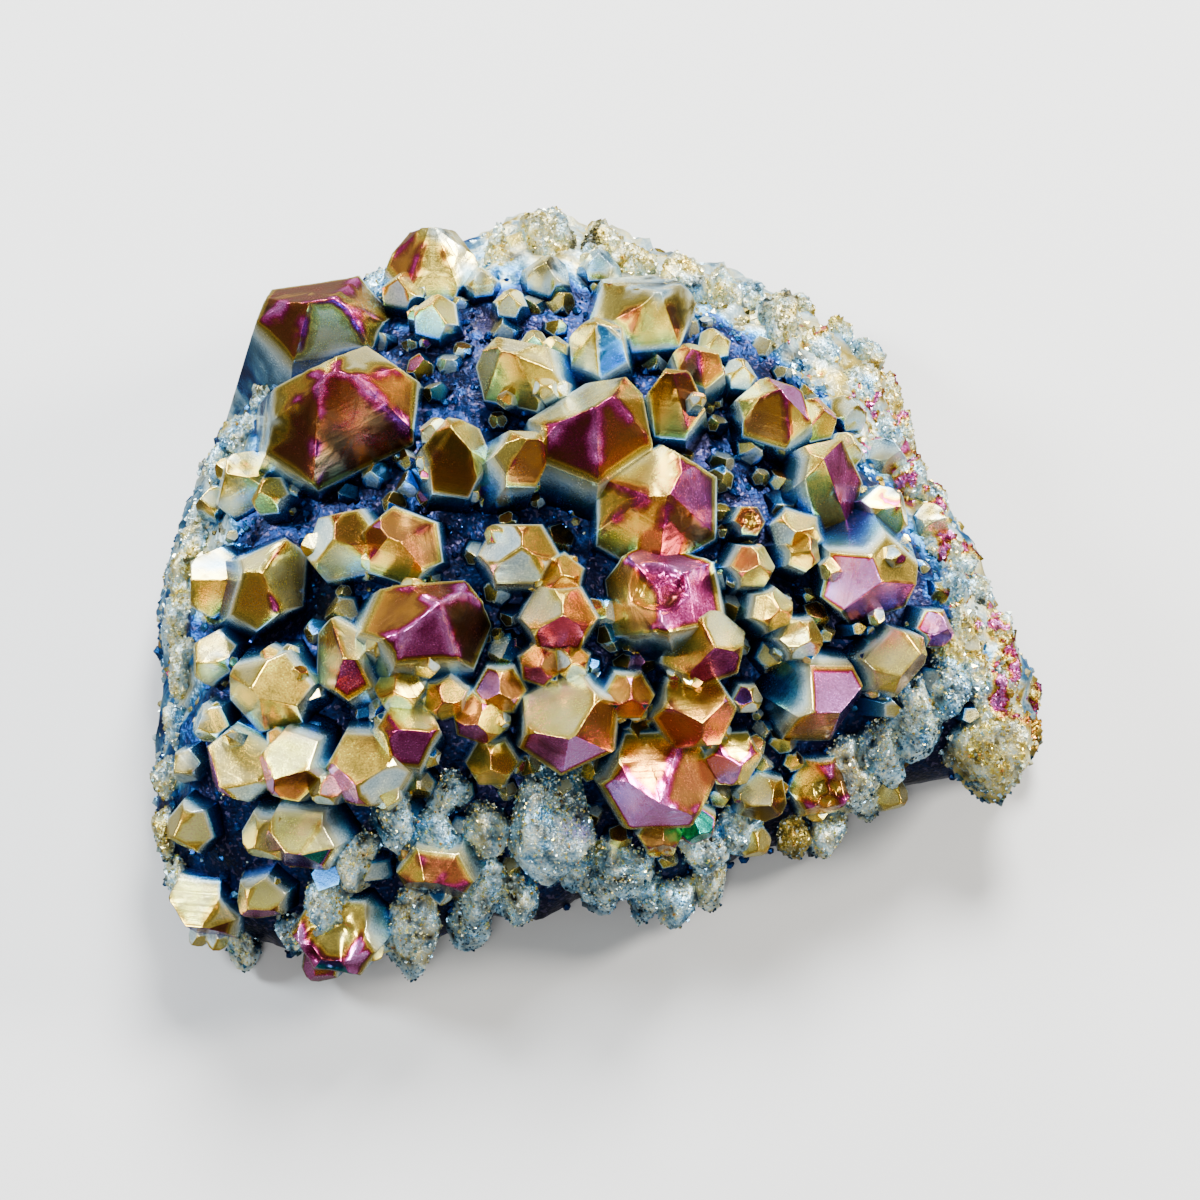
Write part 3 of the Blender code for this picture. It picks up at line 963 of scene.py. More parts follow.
        # Painted shade: points low over the matrix are darkened, as in a recess.
        lit = smooth_step(0.0, FILM.foot_height, DOME.height_over(placed))
        tone = tone * (FILM.foot_painted_shade + (1.0 - FILM.foot_painted_shade) * lit)
        coat, tone = CRUST.over(placed, coat, tone, grit)
        out = normal @ frame
        top = smooth_step(HABIT.tip_band, 0.0, tips[:, 0] / self.width)
        ridge = np.exp(-((tips[:, 1] / (HABIT.ridge_band * self.width)) ** 2)) * top
        rough = HABIT.grain_height + self.ridge * ridge * HABIT.ridge_height
        placed = placed + out * (rough * grit.layered(placed, HABIT.grain))[:, None]
        steps = HABIT.terrace_steps
        terrace = np.round(grit.layered(placed, HABIT.terrace) * steps) / steps
        placed = placed + out * (HABIT.terrace_height * self.ridge * terrace * top)[:, None]
        if self.hollow:
            radius = np.hypot(points[:, 0], points[:, 1]) / (self.hollow * self.half)
            radius = radius + grit.layered(placed, HABIT.hollow_edge)
            sink = smooth_step(*HABIT.hollow_rim, radius) * top
            placed = placed - frame[2] * (HABIT.hollow_depth * self.half * sink)[:, None]
            # The film thins in the hollow, and its tone is darkened there as painted shade.
            coat = coat - FILM.hollow_coat * sink
            tone = tone * (1.0 - FILM.hollow_painted_shade * sink)
        return Patch(placed, coat, tone, points[:, 2], quads, triangles)


@dataclass(frozen=True)
class GrownPoints(Piece):
    """A sub-assembly of quartz points that become one piece."""

    rows: tuple[Point, ...]
    step: float
    bevel: float
    seed: int
    step_share: float = 0.14

    def patches(self, box: Box) -> list[Patch]:
        """One patch for each point."""
        grit, steps = Grit(self.seed), [row.width * self.step_share for row in self.rows]
        return [row.build(min(self.step, step), self.bevel, grit)
                for row, step in zip(self.rows, steps)]


BACK_POINTS = (
    Point(-18.1, 14.6, 5.9, 11.0, 0.06, 0.15, 296, "bgeekb", "B52026", 1.43, 0.8),
    Point(-19.3, 21.7, 6.5, 17.0, 0.07, 0.40, 282, "wykabb", "315711", 1.23, 0.9),
    Point(-11.8, 24.6, 5.6, 7.5, -0.02, 0.60, 270, "ccgpgg", "310002", ridge=0.6),
    Point(-14.0, 22.7, 2.4, 5.0, -0.15, 0.45, 250, "sswwes", "403030", 1.10),
    Point(-11.6, 20.9, 2.8, 4.5, -0.05, 0.40, 250, "eewwee", "404030"),
    Point(-8.3, 23.2, 2.2, 3.0, 0.03, 0.58, 280, "eewwee"),
    Point(-6.4, 17.1, 3.8, 6.0, -0.28, 0.22, 254, "kcweew", "720104", 1.33),
    Point(-9.9, 11.4, 4.2, 5.5, 0.10, 0.35, 262, "dwweed", "745003", 0.92),
    Point(-11.7, 12.7, 1.8, 3.0, -0.15, 0.40, 250, "eeswee"),
    Point(-0.2, 14.5, 6.0, 8.5, 0.09, 0.47, 309, "akeekr", "640835", 1.10, 0.7),
    Point(-5.1, 11.1, 3.2, 5.5, 0.36, 0.34, 277, "gkeekc", "610103"),
    Point(5.4, 15.4, 3.3, 7.0, 0.08, 0.34, 266, "dbkyyw", "BA3102", 0.91),
    Point(6.9, 17.7, 2.9, 5.5, 0.06, 0.44, 255, "bgkwek", "440401", 1.04),
    Point(-0.2, 18.9, 3.4, 5.5, -0.05, 0.45, 244, "ennwee", "440003", 1.03),
    Point(-0.1, 24.4, 2.4, 3.5, 0.00, 0.50, 270, "kkykkk"),
    Point(3.3, 21.4, 6.7, 5.0, 0.19, 0.40, 282, "cbppcy", "110430", 0.94, 0.4),
    Point(-3.8, 23.7, 2.9, 3.5, 0.00, 0.46, 250, "snwwes"),
    Point(-4.6, 18.9, 1.7, 3.5, 0.00, 0.45, 270, "wwwwww"),
    Point(-3.1, 18.5, 1.7, 3.5, 0.03, 0.45, 290, "wwwwww"),
    Point(-6.3, 21.7, 2.1, 3.0, -0.03, 0.50, 260, "eeeewe"),
    Point(8.1, 18.9, 2.1, 3.5, 0.18, 0.48, 290, "wwwwww"),
    Point(9.9, 16.7, 2.1, 3.5, 0.22, 0.42, 270, "seswss"),
    Point(12.3, 14.4, 4.0, 5.5, 0.09, 0.39, 254, "gyppwy", "522121", 1.12, 0.6),
    Point(15.3, 13.6, 2.8, 4.5, 0.32, 0.28, 290, "yppwwy", "403040", ridge=0.6),
    Point(16.7, 9.7, 4.9, 6.5, 0.24, 0.30, 288, "kmpwys", "8A0200", 0.93, 0.5),
    Point(13.7, 5.5, 2.2, 4.5, -0.05, 0.02, 74, "wssekw", "504040", 1.24),
    Point(20.4, 7.0, 3.2, 4.0, 0.42, 0.20, 250, "wsswww"),
    Point(23.6, 6.3, 2.4, 3.0, 0.52, 0.18, 260, "pppwep", ridge=0.8),
    Point(17.5, 11.4, 2.2, 4.0, 0.36, 0.28, 270, "wwwwww"),
    Point(17.6, 14.0, 2.5, 3.0, 0.36, 0.34, 290, "ywpwyp"),
    Point(20.5, 10.9, 2.5, 3.5, 0.44, 0.28, 280, "wswwsw"),
)
LEFT_POINTS = (
    Point(-25.6, 9.1, 3.9, 4.0, -0.42, 0.24, 290, "cscwse", "403040", 1.10),
    Point(-23.4, 8.1, 2.4, 4.0, -0.38, 0.20, 270, "yywwyy"),
    Point(-27.4, 7.6, 2.4, 3.0, -0.52, 0.20, 250, "kkeekk"),
    Point(-27.7, 2.0, 3.8, 4.0, -0.50, 0.08, 300, "kkwwkk", "404030", 1.10),
    Point(-22.8, 2.3, 5.0, 7.5, 0.15, 0.10, 236, "kkwwwk", "A0D080", 0.72, 0.8),
    Point(-27.6, -3.5, 2.9, 4.0, -0.46, -0.05, 300, "wwwwww", "304030", 1.10),
    Point(-23.9, -6.2, 4.3, 5.0, -0.25, -0.13, 283, "kkywpc", "604207", 1.15),
    Point(-18.6, -3.2, 5.1, 4.5, -0.25, 0.15, 299, "mcwwkb", "305090", 0.77, 0.5),
    Point(-11.4, -0.1, 4.8, 6.0, 0.24, 0.32, 279, "mbgagb", "551440", 1.42, 1.2),
    Point(-14.0, 4.6, 4.2, 4.5, -0.04, 0.10, 250, "keggpo", "504402", 1.10),
    Point(-18.4, 4.6, 4.1, 4.5, -0.22, 0.08, 280, "eeddss", "402040", 1.10),
    Point(-14.2, -5.6, 2.8, 3.5, -0.12, -0.10, 270, "sycyys"),
    Point(-13.3, -8.3, 4.2, 4.5, 0.13, 0.20, 266, "mmwwgg", "400631", 0.85, 0.5),
    Point(-10.9, -6.3, 2.4, 3.5, -0.05, -0.10, 290, "kkckkk"),
    Point(-7.0, -5.7, 2.8, 3.5, 0.00, -0.08, 270, "gpggpg"),
    Point(-8.5, -7.8, 2.8, 3.5, -0.03, -0.14, 250, "mgymgm", stretch=1.10),
    Point(-5.7, 4.1, 3.6, 5.0, 0.02, 0.12, 270, "ssyyss", "402040", 1.15),
)
RIGHT_POINTS = (
    Point(-2.7, 2.4, 2.5, 4.0, 0.06, 0.06, 290, "kkykkk"),
    Point(-2.8, -0.6, 3.9, 4.5, 0.05, 0.00, 270, "mggyes", "402030", 1.05),
    Point(-4.2, -3.9, 2.4, 3.5, 0.02, -0.05, 250, "mmggkm"),
    Point(-2.0, -3.7, 2.1, 3.5, 0.05, -0.04, 290, "sgyyss"),
    Point(-2.1, -8.4, 5.2, 5.5, 0.04, -0.14, 115, "wkmpgy", "503330", 1.10),
    Point(3.8, 2.0, 5.7, 6.5, -0.13, 0.24, 249, "mmmpgg", "209949", 1.07, 1.3, 0.72),
    Point(4.3, 7.3, 6.6, 5.0, 0.10, 0.10, 300, "bmkckk", "530335", 1.12, 0.55),
    Point(7.6, -2.7, 4.3, 4.5, 0.16, -0.02, 290, "moekkk", "403040", 1.10),
    Point(10.9, 3.1, 2.5, 4.0, 0.22, 0.05, 270, "wgwwgw"),
    Point(10.6, 6.3, 1.8, 3.5, 0.22, 0.12, 270, "oooooo", hollow=0.7),
    Point(12.3, 0.0, 2.4, 4.0, 0.24, 0.00, 290, "ywwwyy"),
    Point(14.4, -2.1, 2.5, 4.0, 0.28, -0.05, 270, "seywws"),
    Point(14.4, 4.1, 2.2, 4.0, 0.30, 0.08, 250, "kkkkkk"),
    Point(2.1, -6.1, 2.8, 3.5, 0.10, -0.08, 270, "gtgpgt"),
    Point(6.9, -7.4, 4.2, 4.5, 0.14, -0.10, 95, "kkoyop", "503030", 1.10),
    Point(10.5, -6.3, 1.7, 3.0, 0.22, -0.10, 270, "ssesvs"),
    Point(19.6, 1.4, 4.5, 6.3, 0.16, -0.21, 107, "ypmmwy", "060905", 1.16, 0.4),
    Point(20.5, 3.1, 3.2, 4.5, 0.40, 0.06, 110, "wymkyw", "503030", 1.10),
    Point(17.0, -7.8, 5.1, 6.5, 0.38, -0.32, 81, "pkkgvp", "600AA0", 0.97, 0.5),
    Point(21.4, -3.8, 3.2, 4.0, 0.40, -0.08, 135, "wwygww", "500500", 1.25),
    Point(23.8, -1.3, 2.4, 3.0, 0.48, 0.00, 270, "vppepv", ridge=0.8),
)
FRONT_POINTS = (
    Point(-26.0, -11.3, 3.5, 4.0, -0.40, -0.20, 70, "wwppss", "903010", 1.25),
    Point(-22.2, -11.3, 3.8, 4.5, -0.32, -0.18, 75, "wypmby", "503030"),
    Point(-16.7, -11.6, 4.2, 4.5, -0.20, -0.20, 90, "yypmss", "503030", 1.10),
    Point(-19.4, -12.7, 2.0, 3.5, -0.26, -0.22, 270, "ssesws"),
    Point(-29.1, -15.5, 3.2, 3.0, -0.50, -0.28, 260, "wwwwww"),
    Point(-28.3, -21.7, 4.6, 4.0, -0.42, -0.40, 100, "wymvbw", "405500", 1.10),
    Point(-24.2, -20.7, 2.7, 3.5, -0.34, -0.40, 290, "mbwwym", "503030", 1.15),
    Point(-23.7, -16.2, 2.9, 3.5, -0.36, -0.30, 270, "wwwwww", stretch=1.10),
    Point(-21.5, -16.6, 3.8, 4.0, -0.30, -0.30, 90, "wyvvtw", "404400", 1.20),
    Point(-27.6, -8.1, 2.4, 3.0, -0.48, -0.14, 270, "wswwsw"),
    Point(-29.3, -11.1, 2.1, 3.0, -0.52, -0.20, 290, "eeweee"),
    Point(-19.0, -23.8, 4.6, 5.0, -0.26, -0.46, 90, "yymtmy", "602200", 1.15, 1.3, 0.85),
    Point(-11.6, -18.9, 4.1, 3.5, -0.10, -0.40, 265, "bbookk", "600000", 1.10),
    Point(-7.6, -10.9, 2.8, 3.5, 0.00, -0.18, 270, "kkkkkk"),
    Point(4.3, -12.5, 5.9, 4.5, 0.10, -0.20, 90, "goppyg", "502205", 1.10, 0.8),
    Point(4.3, -16.0, 2.5, 3.0, 0.12, -0.32, 270, "gmgggm"),
    Point(6.8, -15.3, 2.4, 3.0, 0.15, -0.30, 290, "tttvtt"),
    Point(9.5, -10.6, 3.4, 3.0, 0.20, -0.20, 90, "yopcwy", ridge=0.9),
    Point(10.9, -16.5, 2.1, 3.0, 0.24, -0.36, 270, "wwwwww"),
    Point(11.6, -13.4, 3.1, 3.0, 0.26, -0.28, 250, "dmdked", "403030"),
    Point(15.8, -12.6, 4.1, 3.0, 0.34, -0.28, 270, "gmggym", ridge=0.8, hollow=0.6),
    Point(20.7, -13.2, 2.1, 2.5, 0.42, -0.34, 270, "wwwwww", stretch=1.10),
    Point(-19.7, -25.1, 2.5, 2.0, -0.20, -0.42, 290, "mgggmm"),
)


def pick(choices: tuple[str, ...], spin: float, stride: int) -> str:
    """One of the choices, settled by a turn that has been drawn already."""
    return choices[int(spin * stride) % len(choices)]


@dataclass(frozen=True)
class GapFill:
    """Where small points stand in the gaps between the others."""

    seed: int = 11
    tries: int = 900
    count: int = 36
    gap: float = 0.46
    widths: Pair = (1.3, 2.4)
    turns: float = 120.0
    rim_share: float = 0.9
    lean_centre: Pair = (-6.5, 2.0)
    lean_reach: float = 42.0
    lean_spread: float = 0.12
    rise: float = 1.2
    cut_sets: tuple[str, ...] = ("303030", "704050", "250340", "603204", "405160")
    coat_sets: tuple[str, ...] = (
        "nswwsn", "esywns", "nkywsn", "egwwys", "snwysn", "dcyywn", "ngpwye", "sndwen",
    )

    def rows(self, taken: tuple[Point, ...]) -> tuple[Point, ...]:
        """Rows of small points that stay clear of those that are there.

        Args:
            taken: The points that are there already.

        Returns:
            The new points.
        """
        rng = np.random.default_rng(self.seed)
        kept = [(row.u, row.v, row.width * row.stretch) for row in taken]
        rows: list[Point] = []
        least, most = self.widths
        for _ in range(self.tries):
            angle, share, width, spin = rng.uniform(
                (0, 0, least, 0), (math.tau, 1, most, self.turns)
            )
            tilt_u, tilt_v = rng.normal(0.0, self.lean_spread, 2)
            far = self.rim_share * DOME.outline(math.degrees(angle)) * math.sqrt(share)
            u, v = far * math.cos(angle), far * math.sin(angle)
            others = np.array(kept)
            room = np.hypot(u - others[:, 0], v - others[:, 1])
            if len(rows) == self.count or (room <= self.gap * (width + others[:, 2])).any():
                continue
            lean_u = (u - self.lean_centre[0]) / self.lean_reach + tilt_u
            lean_v = (v - self.lean_centre[1]) / self.lean_reach + tilt_v
            coats, cuts = pick(self.coat_sets, spin, stride=7), pick(self.cut_sets, spin, stride=5)
            rows.append(
                Point(u, v, width, self.rise, lean_u, lean_v, spin, coats, cuts, ridge=0.0)
            )
            kept.append((u, v, width))
        return tuple(rows)


@dataclass(frozen=True)
class SideGrowths:
    """Small points that grow out of the flanks of larger ones, at or under the shoulder."""

    seed: int = 61
    per_width: float = 0.72
    parent_widths: Pair = (2.3, 4.8)
    widths: Pair = (0.22, 0.42)
    widest: float = 1.6
    turns: float = 120.0
    depths: Pair = (0.18, 0.8)
    tilts: Pair = (math.radians(6.0), math.radians(34.0))
    stem_share: float = 1.7
    cuts: str = "403020"
    coat_sets: tuple[str, ...] = (
        "wyskew", "sewwys", "ykwpsg", "wgsyme", "eswwky", "gywsep", "nswysn", "sneysw",
    )

    def beside(self, parent: Point, rng: np.random.Generator) -> Point:
        """Grow a small point on the flank of another, leaning away from it.

        Args:
            parent: The larger point.
            rng: Source of the random sizes and turns.

        Returns:
            The small point.
        """
        frame = PLANE.frame_of(parent.lean_u, parent.lean_v)
        turn, spin = rng.uniform(0.0, math.tau), rng.uniform(0.0, self.turns)
        width = min(parent.width * rng.uniform(*self.widths), self.widest)
        depth, tilt = parent.width * rng.uniform(*self.depths), rng.uniform(*self.tilts)
        side = math.cos(turn) * frame[0] + math.sin(turn) * frame[1]
        wider = 1.0 + (parent.stretch - 1.0) * abs(math.sin(turn - math.radians(parent.spin)))
        out = parent.half * wider + depth * math.tan(HABIT.taper)
        place = parent.centre + side * out - frame[2] * depth
        axis = frame[2] * math.cos(tilt) + side * math.sin(tilt)
        right, up, _ = PLANE.axes
        u, v, height = PLANE.seen_at(place)
        rise = height - DOME.drop(u, v)[0]
        return Point(u, v, width, rise, axis @ right, axis @ up, spin,
                     pick(self.coat_sets, spin, stride=7), self.cuts,
                     stem=width * self.stem_share)

    def rows(self, parents: tuple[Point, ...]) -> tuple[Point, ...]:
        """Grow small points on the flanks of the middling points.

        Args:
            parents: The larger points.

        Returns:
            The small points.
        """
        rng = np.random.default_rng(self.seed)
        least, most = self.parent_widths
        return tuple(
            self.beside(parent, rng)
            for parent in parents
            if least <= parent.width <= most
            for _ in range(round(parent.width * self.per_width))
        )


# ---- matrix, lumps and grains


@dataclass(frozen=True)
class MatrixBody(Piece):
    """The domed matrix: rings of points at shares of the way from the summit to the rim.

    Under the rim the rings follow knots, each a share of the rim's reach and of its level.
    """

    name: str = "matrix_body"
    columns: int = 336
    top_rings: int = 84
    under_rings: int = 26
    knots: tuple[Pair, ...] = (
        (1.0, 1.0), (0.995, 0.8), (0.985, 0.5), (0.965, 0.25), (0.93, 0.0), (0.90, -0.35)
    )
    seed: int = 21
    unevenness: float = 0.5
    swell: Noise = Noise(0.0, 2.2, 4)
    crust: Noise = Noise(51.0, 1.1, 3, 1.8, 0.8)
    coat: Noise = Noise(0.0, 3.0, 2, 0.05, 0.09)
    thick_coat: float = 0.12
    thick_rise: Pair = (0.3, 0.8)
    thick_noise: Noise = Noise(9.0, 1.1, 2)
    tone: Noise = Noise(3.0, 1.7, 2, 0.28, 0.34)

    def roughened(self, points: Array) -> Array:
        """Move points out by the unevenness of the matrix and its crust.

        Args:
            points: Points in millimetres.

        Returns:
            The moved points.
        """
        grit = Grit(self.seed)
        away = unit(points - np.array([DOME.summit[0], DOME.summit[1], 0.0]))
        crust = CRUST.share(points) * grit.layered(points, self.crust)
        rough = grit.layered(points, self.swell) + crust
        return points + away * (self.unevenness * rough)[:, None]

    def surface(self) -> Array:
        """Points of the matrix before it is coated.

        Returns:
            The summit, the rings and the middle of the flat underside.
        """
        bearing = math.tau * np.arange(self.columns) / self.columns - math.pi
        reach, level = DOME.rim_at(bearing)
        shares = (np.arange(self.top_rings) + 1.0) / self.top_rings
        ways, levels = np.array(self.knots).T
        place = np.linspace(0.0, len(ways) - 1, self.under_rings + 1)[1:]
        turned = np.interp(place, range(len(ways)), ways)
        share = np.concatenate([shares, turned])[:, None]
        top = DOME.level_at(shares[:, None], level)
        below = np.interp(place, range(len(ways)), levels)[:, None] * level
        x, y = DOME.around(bearing, share * reach)
        points = self.roughened(np.stack([x, y, np.vstack([top, below])], axis=-1).reshape(-1, 3))
        points[:, 2] = np.maximum(points[:, 2], 0.0)
        return np.vstack([DOME.summit, points, (DOME.summit[0], DOME.summit[1], 0.0)])

    def patches(self, box: Box) -> list[Patch]:
        """The coated surface of the matrix.

        Args:
            box: What the points are held within.

        Returns:
            Its one patch.
        """
        grit, points = Grit(self.seed), self.surface()
        thick = smooth_step(*self.thick_rise, grit.layered(points, self.thick_noise))
        coat = grit.layered(points, self.coat) + self.thick_coat * thick
        coat, tone = CRUST.over(points, coat, grit.layered(points, self.tone), grit)
        faces = globe_faces(self.columns, self.top_rings + self.under_rings)
        return [Patch(points, coat, tone, points[:, 2], *faces)]


class Lump(NamedTuple):
    """A rough lump: its place on the drawing plane, its width and its coat."""

    u: float
    v: float
    width: float
    coat: str


LUMPS = (
    Lump(-18.6, -20.7, 4.5, "w"), Lump(-17.0, -17.0, 4.1, "c"), Lump(-14.4, -13.9, 4.5, "w"),
    Lump(-11.9, -16.5, 5.0, "e"), Lump(-8.3, -18.9, 5.0, "w"), Lump(-5.7, -19.6, 4.6, "w"),
    Lump(-8.4, -15.4, 4.3, "c"), Lump(-3.5, -14.4, 7.4, "w"), Lump(-1.5, -16.9, 4.1, "w"),
    Lump(-10.5, -12.6, 3.3, "w"), Lump(-13.4, -21.6, 5.5, "c"), Lump(-9.2, -21.1, 3.8, "w"),
    Lump(1.5, -17.5, 5.0, "w"), Lump(3.2, -19.5, 3.6, "e"), Lump(4.8, -19.7, 4.1, "w"),
    Lump(7.7, -18.3, 3.6, "c"), Lump(0.1, -18.6, 4.5, "w"), Lump(9.5, -15.1, 4.1, "w"),
    Lump(15.5, -15.5, 3.6, "c"), Lump(13.3, -15.3, 3.3, "k"), Lump(17.5, -11.2, 5.0, "c"),
    Lump(19.6, -9.1, 5.0, "w"), Lump(22.1, -7.0, 5.0, "w"), Lump(24.2, -4.9, 4.1, "e"),
    Lump(18.8, -13.0, 3.3, "c"), Lump(7.0, -16.5, 3.6, "w"), Lump(27.0, -9.2, 7.0, "y"),
    Lump(30.0, -8.8, 2.8, "g"), Lump(30.1, -6.4, 2.2, "p"), Lump(28.4, -4.1, 3.1, "y"),
    Lump(27.7, -1.5, 2.8, "e"), Lump(26.3, 0.9, 2.8, "m"), Lump(25.2, 3.5, 2.8, "c"),
    Lump(27.3, -6.3, 4.2, "e"), Lump(21.4, 8.8, 3.5, "e"), Lump(19.7, 12.5, 3.1, "c"),
    Lump(18.1, 15.3, 3.9, "y"), Lump(15.1, 18.1, 3.4, "w"), Lump(12.3, 19.6, 4.6, "e"),
    Lump(8.5, 21.7, 3.5, "w"), Lump(5.7, 22.5, 4.5, "w"), Lump(2.5, 23.9, 3.4, "w"),
    Lump(0.0, 24.8, 4.2, "y"), Lump(-3.6, 25.6, 5.2, "y"), Lump(-7.1, 24.8, 3.1, "w"),
    Lump(-15.4, 22.3, 2.8, "e"), Lump(-23.0, 15.1, 2.9, "c"), Lump(-24.9, 12.0, 3.2, "e"),
    Lump(-26.5, 9.8, 2.9, "c"), Lump(-28.1, 4.6, 2.9, "e"), Lump(-28.7, 2.7, 3.2, "w"),
    Lump(-29.3, -0.7, 2.9, "c"), Lump(-29.1, -4.9, 2.9, "e"), Lump(-29.4, -8.1, 2.9, "e"),
    Lump(-30.1, -11.9, 3.1, "c"), Lump(-30.2, -15.4, 3.1, "y"), Lump(-29.4, -18.3, 3.4, "c"),
    Lump(-21.1, -22.4, 3.2, "e"), Lump(-24.9, -23.1, 2.8, "c"), Lump(14.0, 20.6, 2.8, "c"),
    Lump(16.7, 19.2, 2.8, "y"), Lump(18.6, 17.5, 2.9, "w"), Lump(19.9, 14.7, 3.1, "e"),
    Lump(21.1, 11.9, 3.1, "p"), Lump(22.8, 7.4, 3.4, "c"), Lump(23.8, 4.3, 3.5, "y"),
    Lump(24.6, 1.3, 3.5, "e"), Lump(25.3, -1.7, 3.5, "c"), Lump(26.0, -4.3, 3.6, "w"),
    Lump(24.2, -3.2, 3.1, "y"), Lump(28.0, -2.1, 2.8, "p"), Lump(10.2, 21.6, 3.1, "e"),
    Lump(-27.7, 6.3, 2.8, "c"), Lump(-29.0, 0.7, 2.8, "y"), Lump(-28.8, -3.2, 2.7, "w"),
)
FIRST_RIM_LUMP = 26


@dataclass(frozen=True)
class RoughLumps(Piece):
    """Rough lumps, each a broken block drawn on a ball.

    In the direction d its surface lies at the least of reach_k / (d . n_k) over its flats k, which
    is rounded off by a largest reach, times half the width, plus broken noise.
    """

    name: str = "rough_lumps"
    columns: int = 44
    rings: int = 27
    seed: int = 33
    flats: int = 15
    reaches: Pair = (0.80, 1.08)
    largest: float = 1.3
    least_facing: float = 0.05
    lengths: Pair = (0.95, 1.25)
    both_lengths: float = 1.9
    swell: Noise = Noise(0.0, 0.9, 3)
    swell_height: float = 0.13
    dent: Noise = Noise(5.0, 0.55, 2)
    dent_depth: float = 0.22
    most_scale: float = 2.0
    sink: float = -0.04
    shade_coat: float = 0.30
    coat_noise: Noise = Noise(2.0, 0.9, 3, 0.11)
    lit_from: float = -0.3
    lit_per_width: float = 0.38
    foot_shade_tone: float = 0.04
    tone_share: float = 0.85
    swell_painted_light: float = 1.2

    def centres(self) -> Array:
        """Middle of each lump in millimetres."""
        u, v, width = (np.array([getattr(lump, key) for lump in LUMPS]) for key in
                       ("u", "v", "width"))
        return PLANE.on_sight_line(u, v, DOME.drop(u, v) + width * self.sink)

    def surface(self, index: int, out: Array, centre: Array, grit: Grit) -> tuple[Array, Array]:
        """Points of one lump in the given directions from its middle.

        Args:
            index: Which lump.
            out: Unit vectors, one for each point.
            centre: Middle of the lump.
            grit: Random values through space.

        Returns:
            The points, and how far the noise lifts each.
        """
        rng = np.random.default_rng(self.seed + index)
        normals = unit(rng.normal(0.0, 1.0, (self.flats, 3)))
        reach = rng.uniform(*self.reaches, self.flats)
        facing = np.maximum(out @ normals.T, self.least_facing)
        far = np.minimum((reach / facing).min(axis=1), self.largest)
        half = LUMPS[index].width / 2
        long = rng.uniform(*self.lengths)
        stretch = np.diag([self.both_lengths - long, long, 1.0])
        stretch = PLANE.axes.T @ stretch @ PLANE.axes
        points = centre + (out * (half * far)[:, None]) @ stretch
        swell = grit.layered(points, self.swell)
        dent = np.abs(grit.layered(points, self.dent))
        lift = self.swell_height * swell - self.dent_depth * dent
        return points + out * (lift * min(half, self.most_scale))[:, None], swell - dent

    def ball(self) -> Array:
        """Directions of the points of a lump.

        Returns:
            Unit vectors, ring by ring between two poles.
        """
        around = math.tau * np.arange(self.columns) / self.columns
        down = math.pi * (np.arange(self.rings) + 1) / (self.rings + 1)
        rings = np.stack([
            np.sin(down)[:, None] * np.cos(around),
            np.sin(down)[:, None] * np.sin(around),
            np.cos(down)[:, None] * np.ones_like(around),
        ], axis=-1)
        return np.vstack([(0.0, 0.0, 1.0), rings.reshape(-1, 3), (0.0, 0.0, -1.0)])

    def patch(self, index: int, centre: Array, ball: Array, grit: Grit) -> Patch:
        """One lump, painted dark and bluer at its foot as shade, with its own coat at its top, and
        painted lighter on its swells and darker in its dents.

        Args:
            index: Which lump.
            centre: Middle of the lump.
            ball: Directions of its points.
            grit: Random values through space.

        Returns:
            The patch of the lump.
        """
        points, swell = self.surface(index, ball, centre, grit)
        points[:, 2] = np.maximum(points[:, 2], 0.0)
        lump = LUMPS[index]
        own_coat, own_tone = Coat.of(lump.coat)[0]
        lit_to = self.lit_per_width * lump.width
        lit = smooth_step(self.lit_from, lit_to, DOME.height_over(points))
        # Painted shade: toward its foot the lump's coat goes bluer and its tone darker.
        coat = self.shade_coat + (own_coat - self.shade_coat) * lit
        coat = coat + grit.layered(points, self.coat_noise)
        tone = self.foot_shade_tone + (self.tone_share * own_tone - self.foot_shade_tone) * lit
        # Painted light and shade on the relief: swells lighter, dents darker.
        tone = tone * (1.0 + self.swell_painted_light * swell)
        coat, tone = CRUST.over(points, coat, tone, grit)
        faces = globe_faces(self.columns, self.rings)
        return Patch(points, coat, tone, points[:, 2], *faces)

    def patches(self, box: Box) -> list[Patch]:
        """One patch for each lump."""
        grit, ball = Grit(self.seed), self.ball()
        return [self.patch(index, centre, ball, grit)
                for index, centre in enumerate(self.centres())]


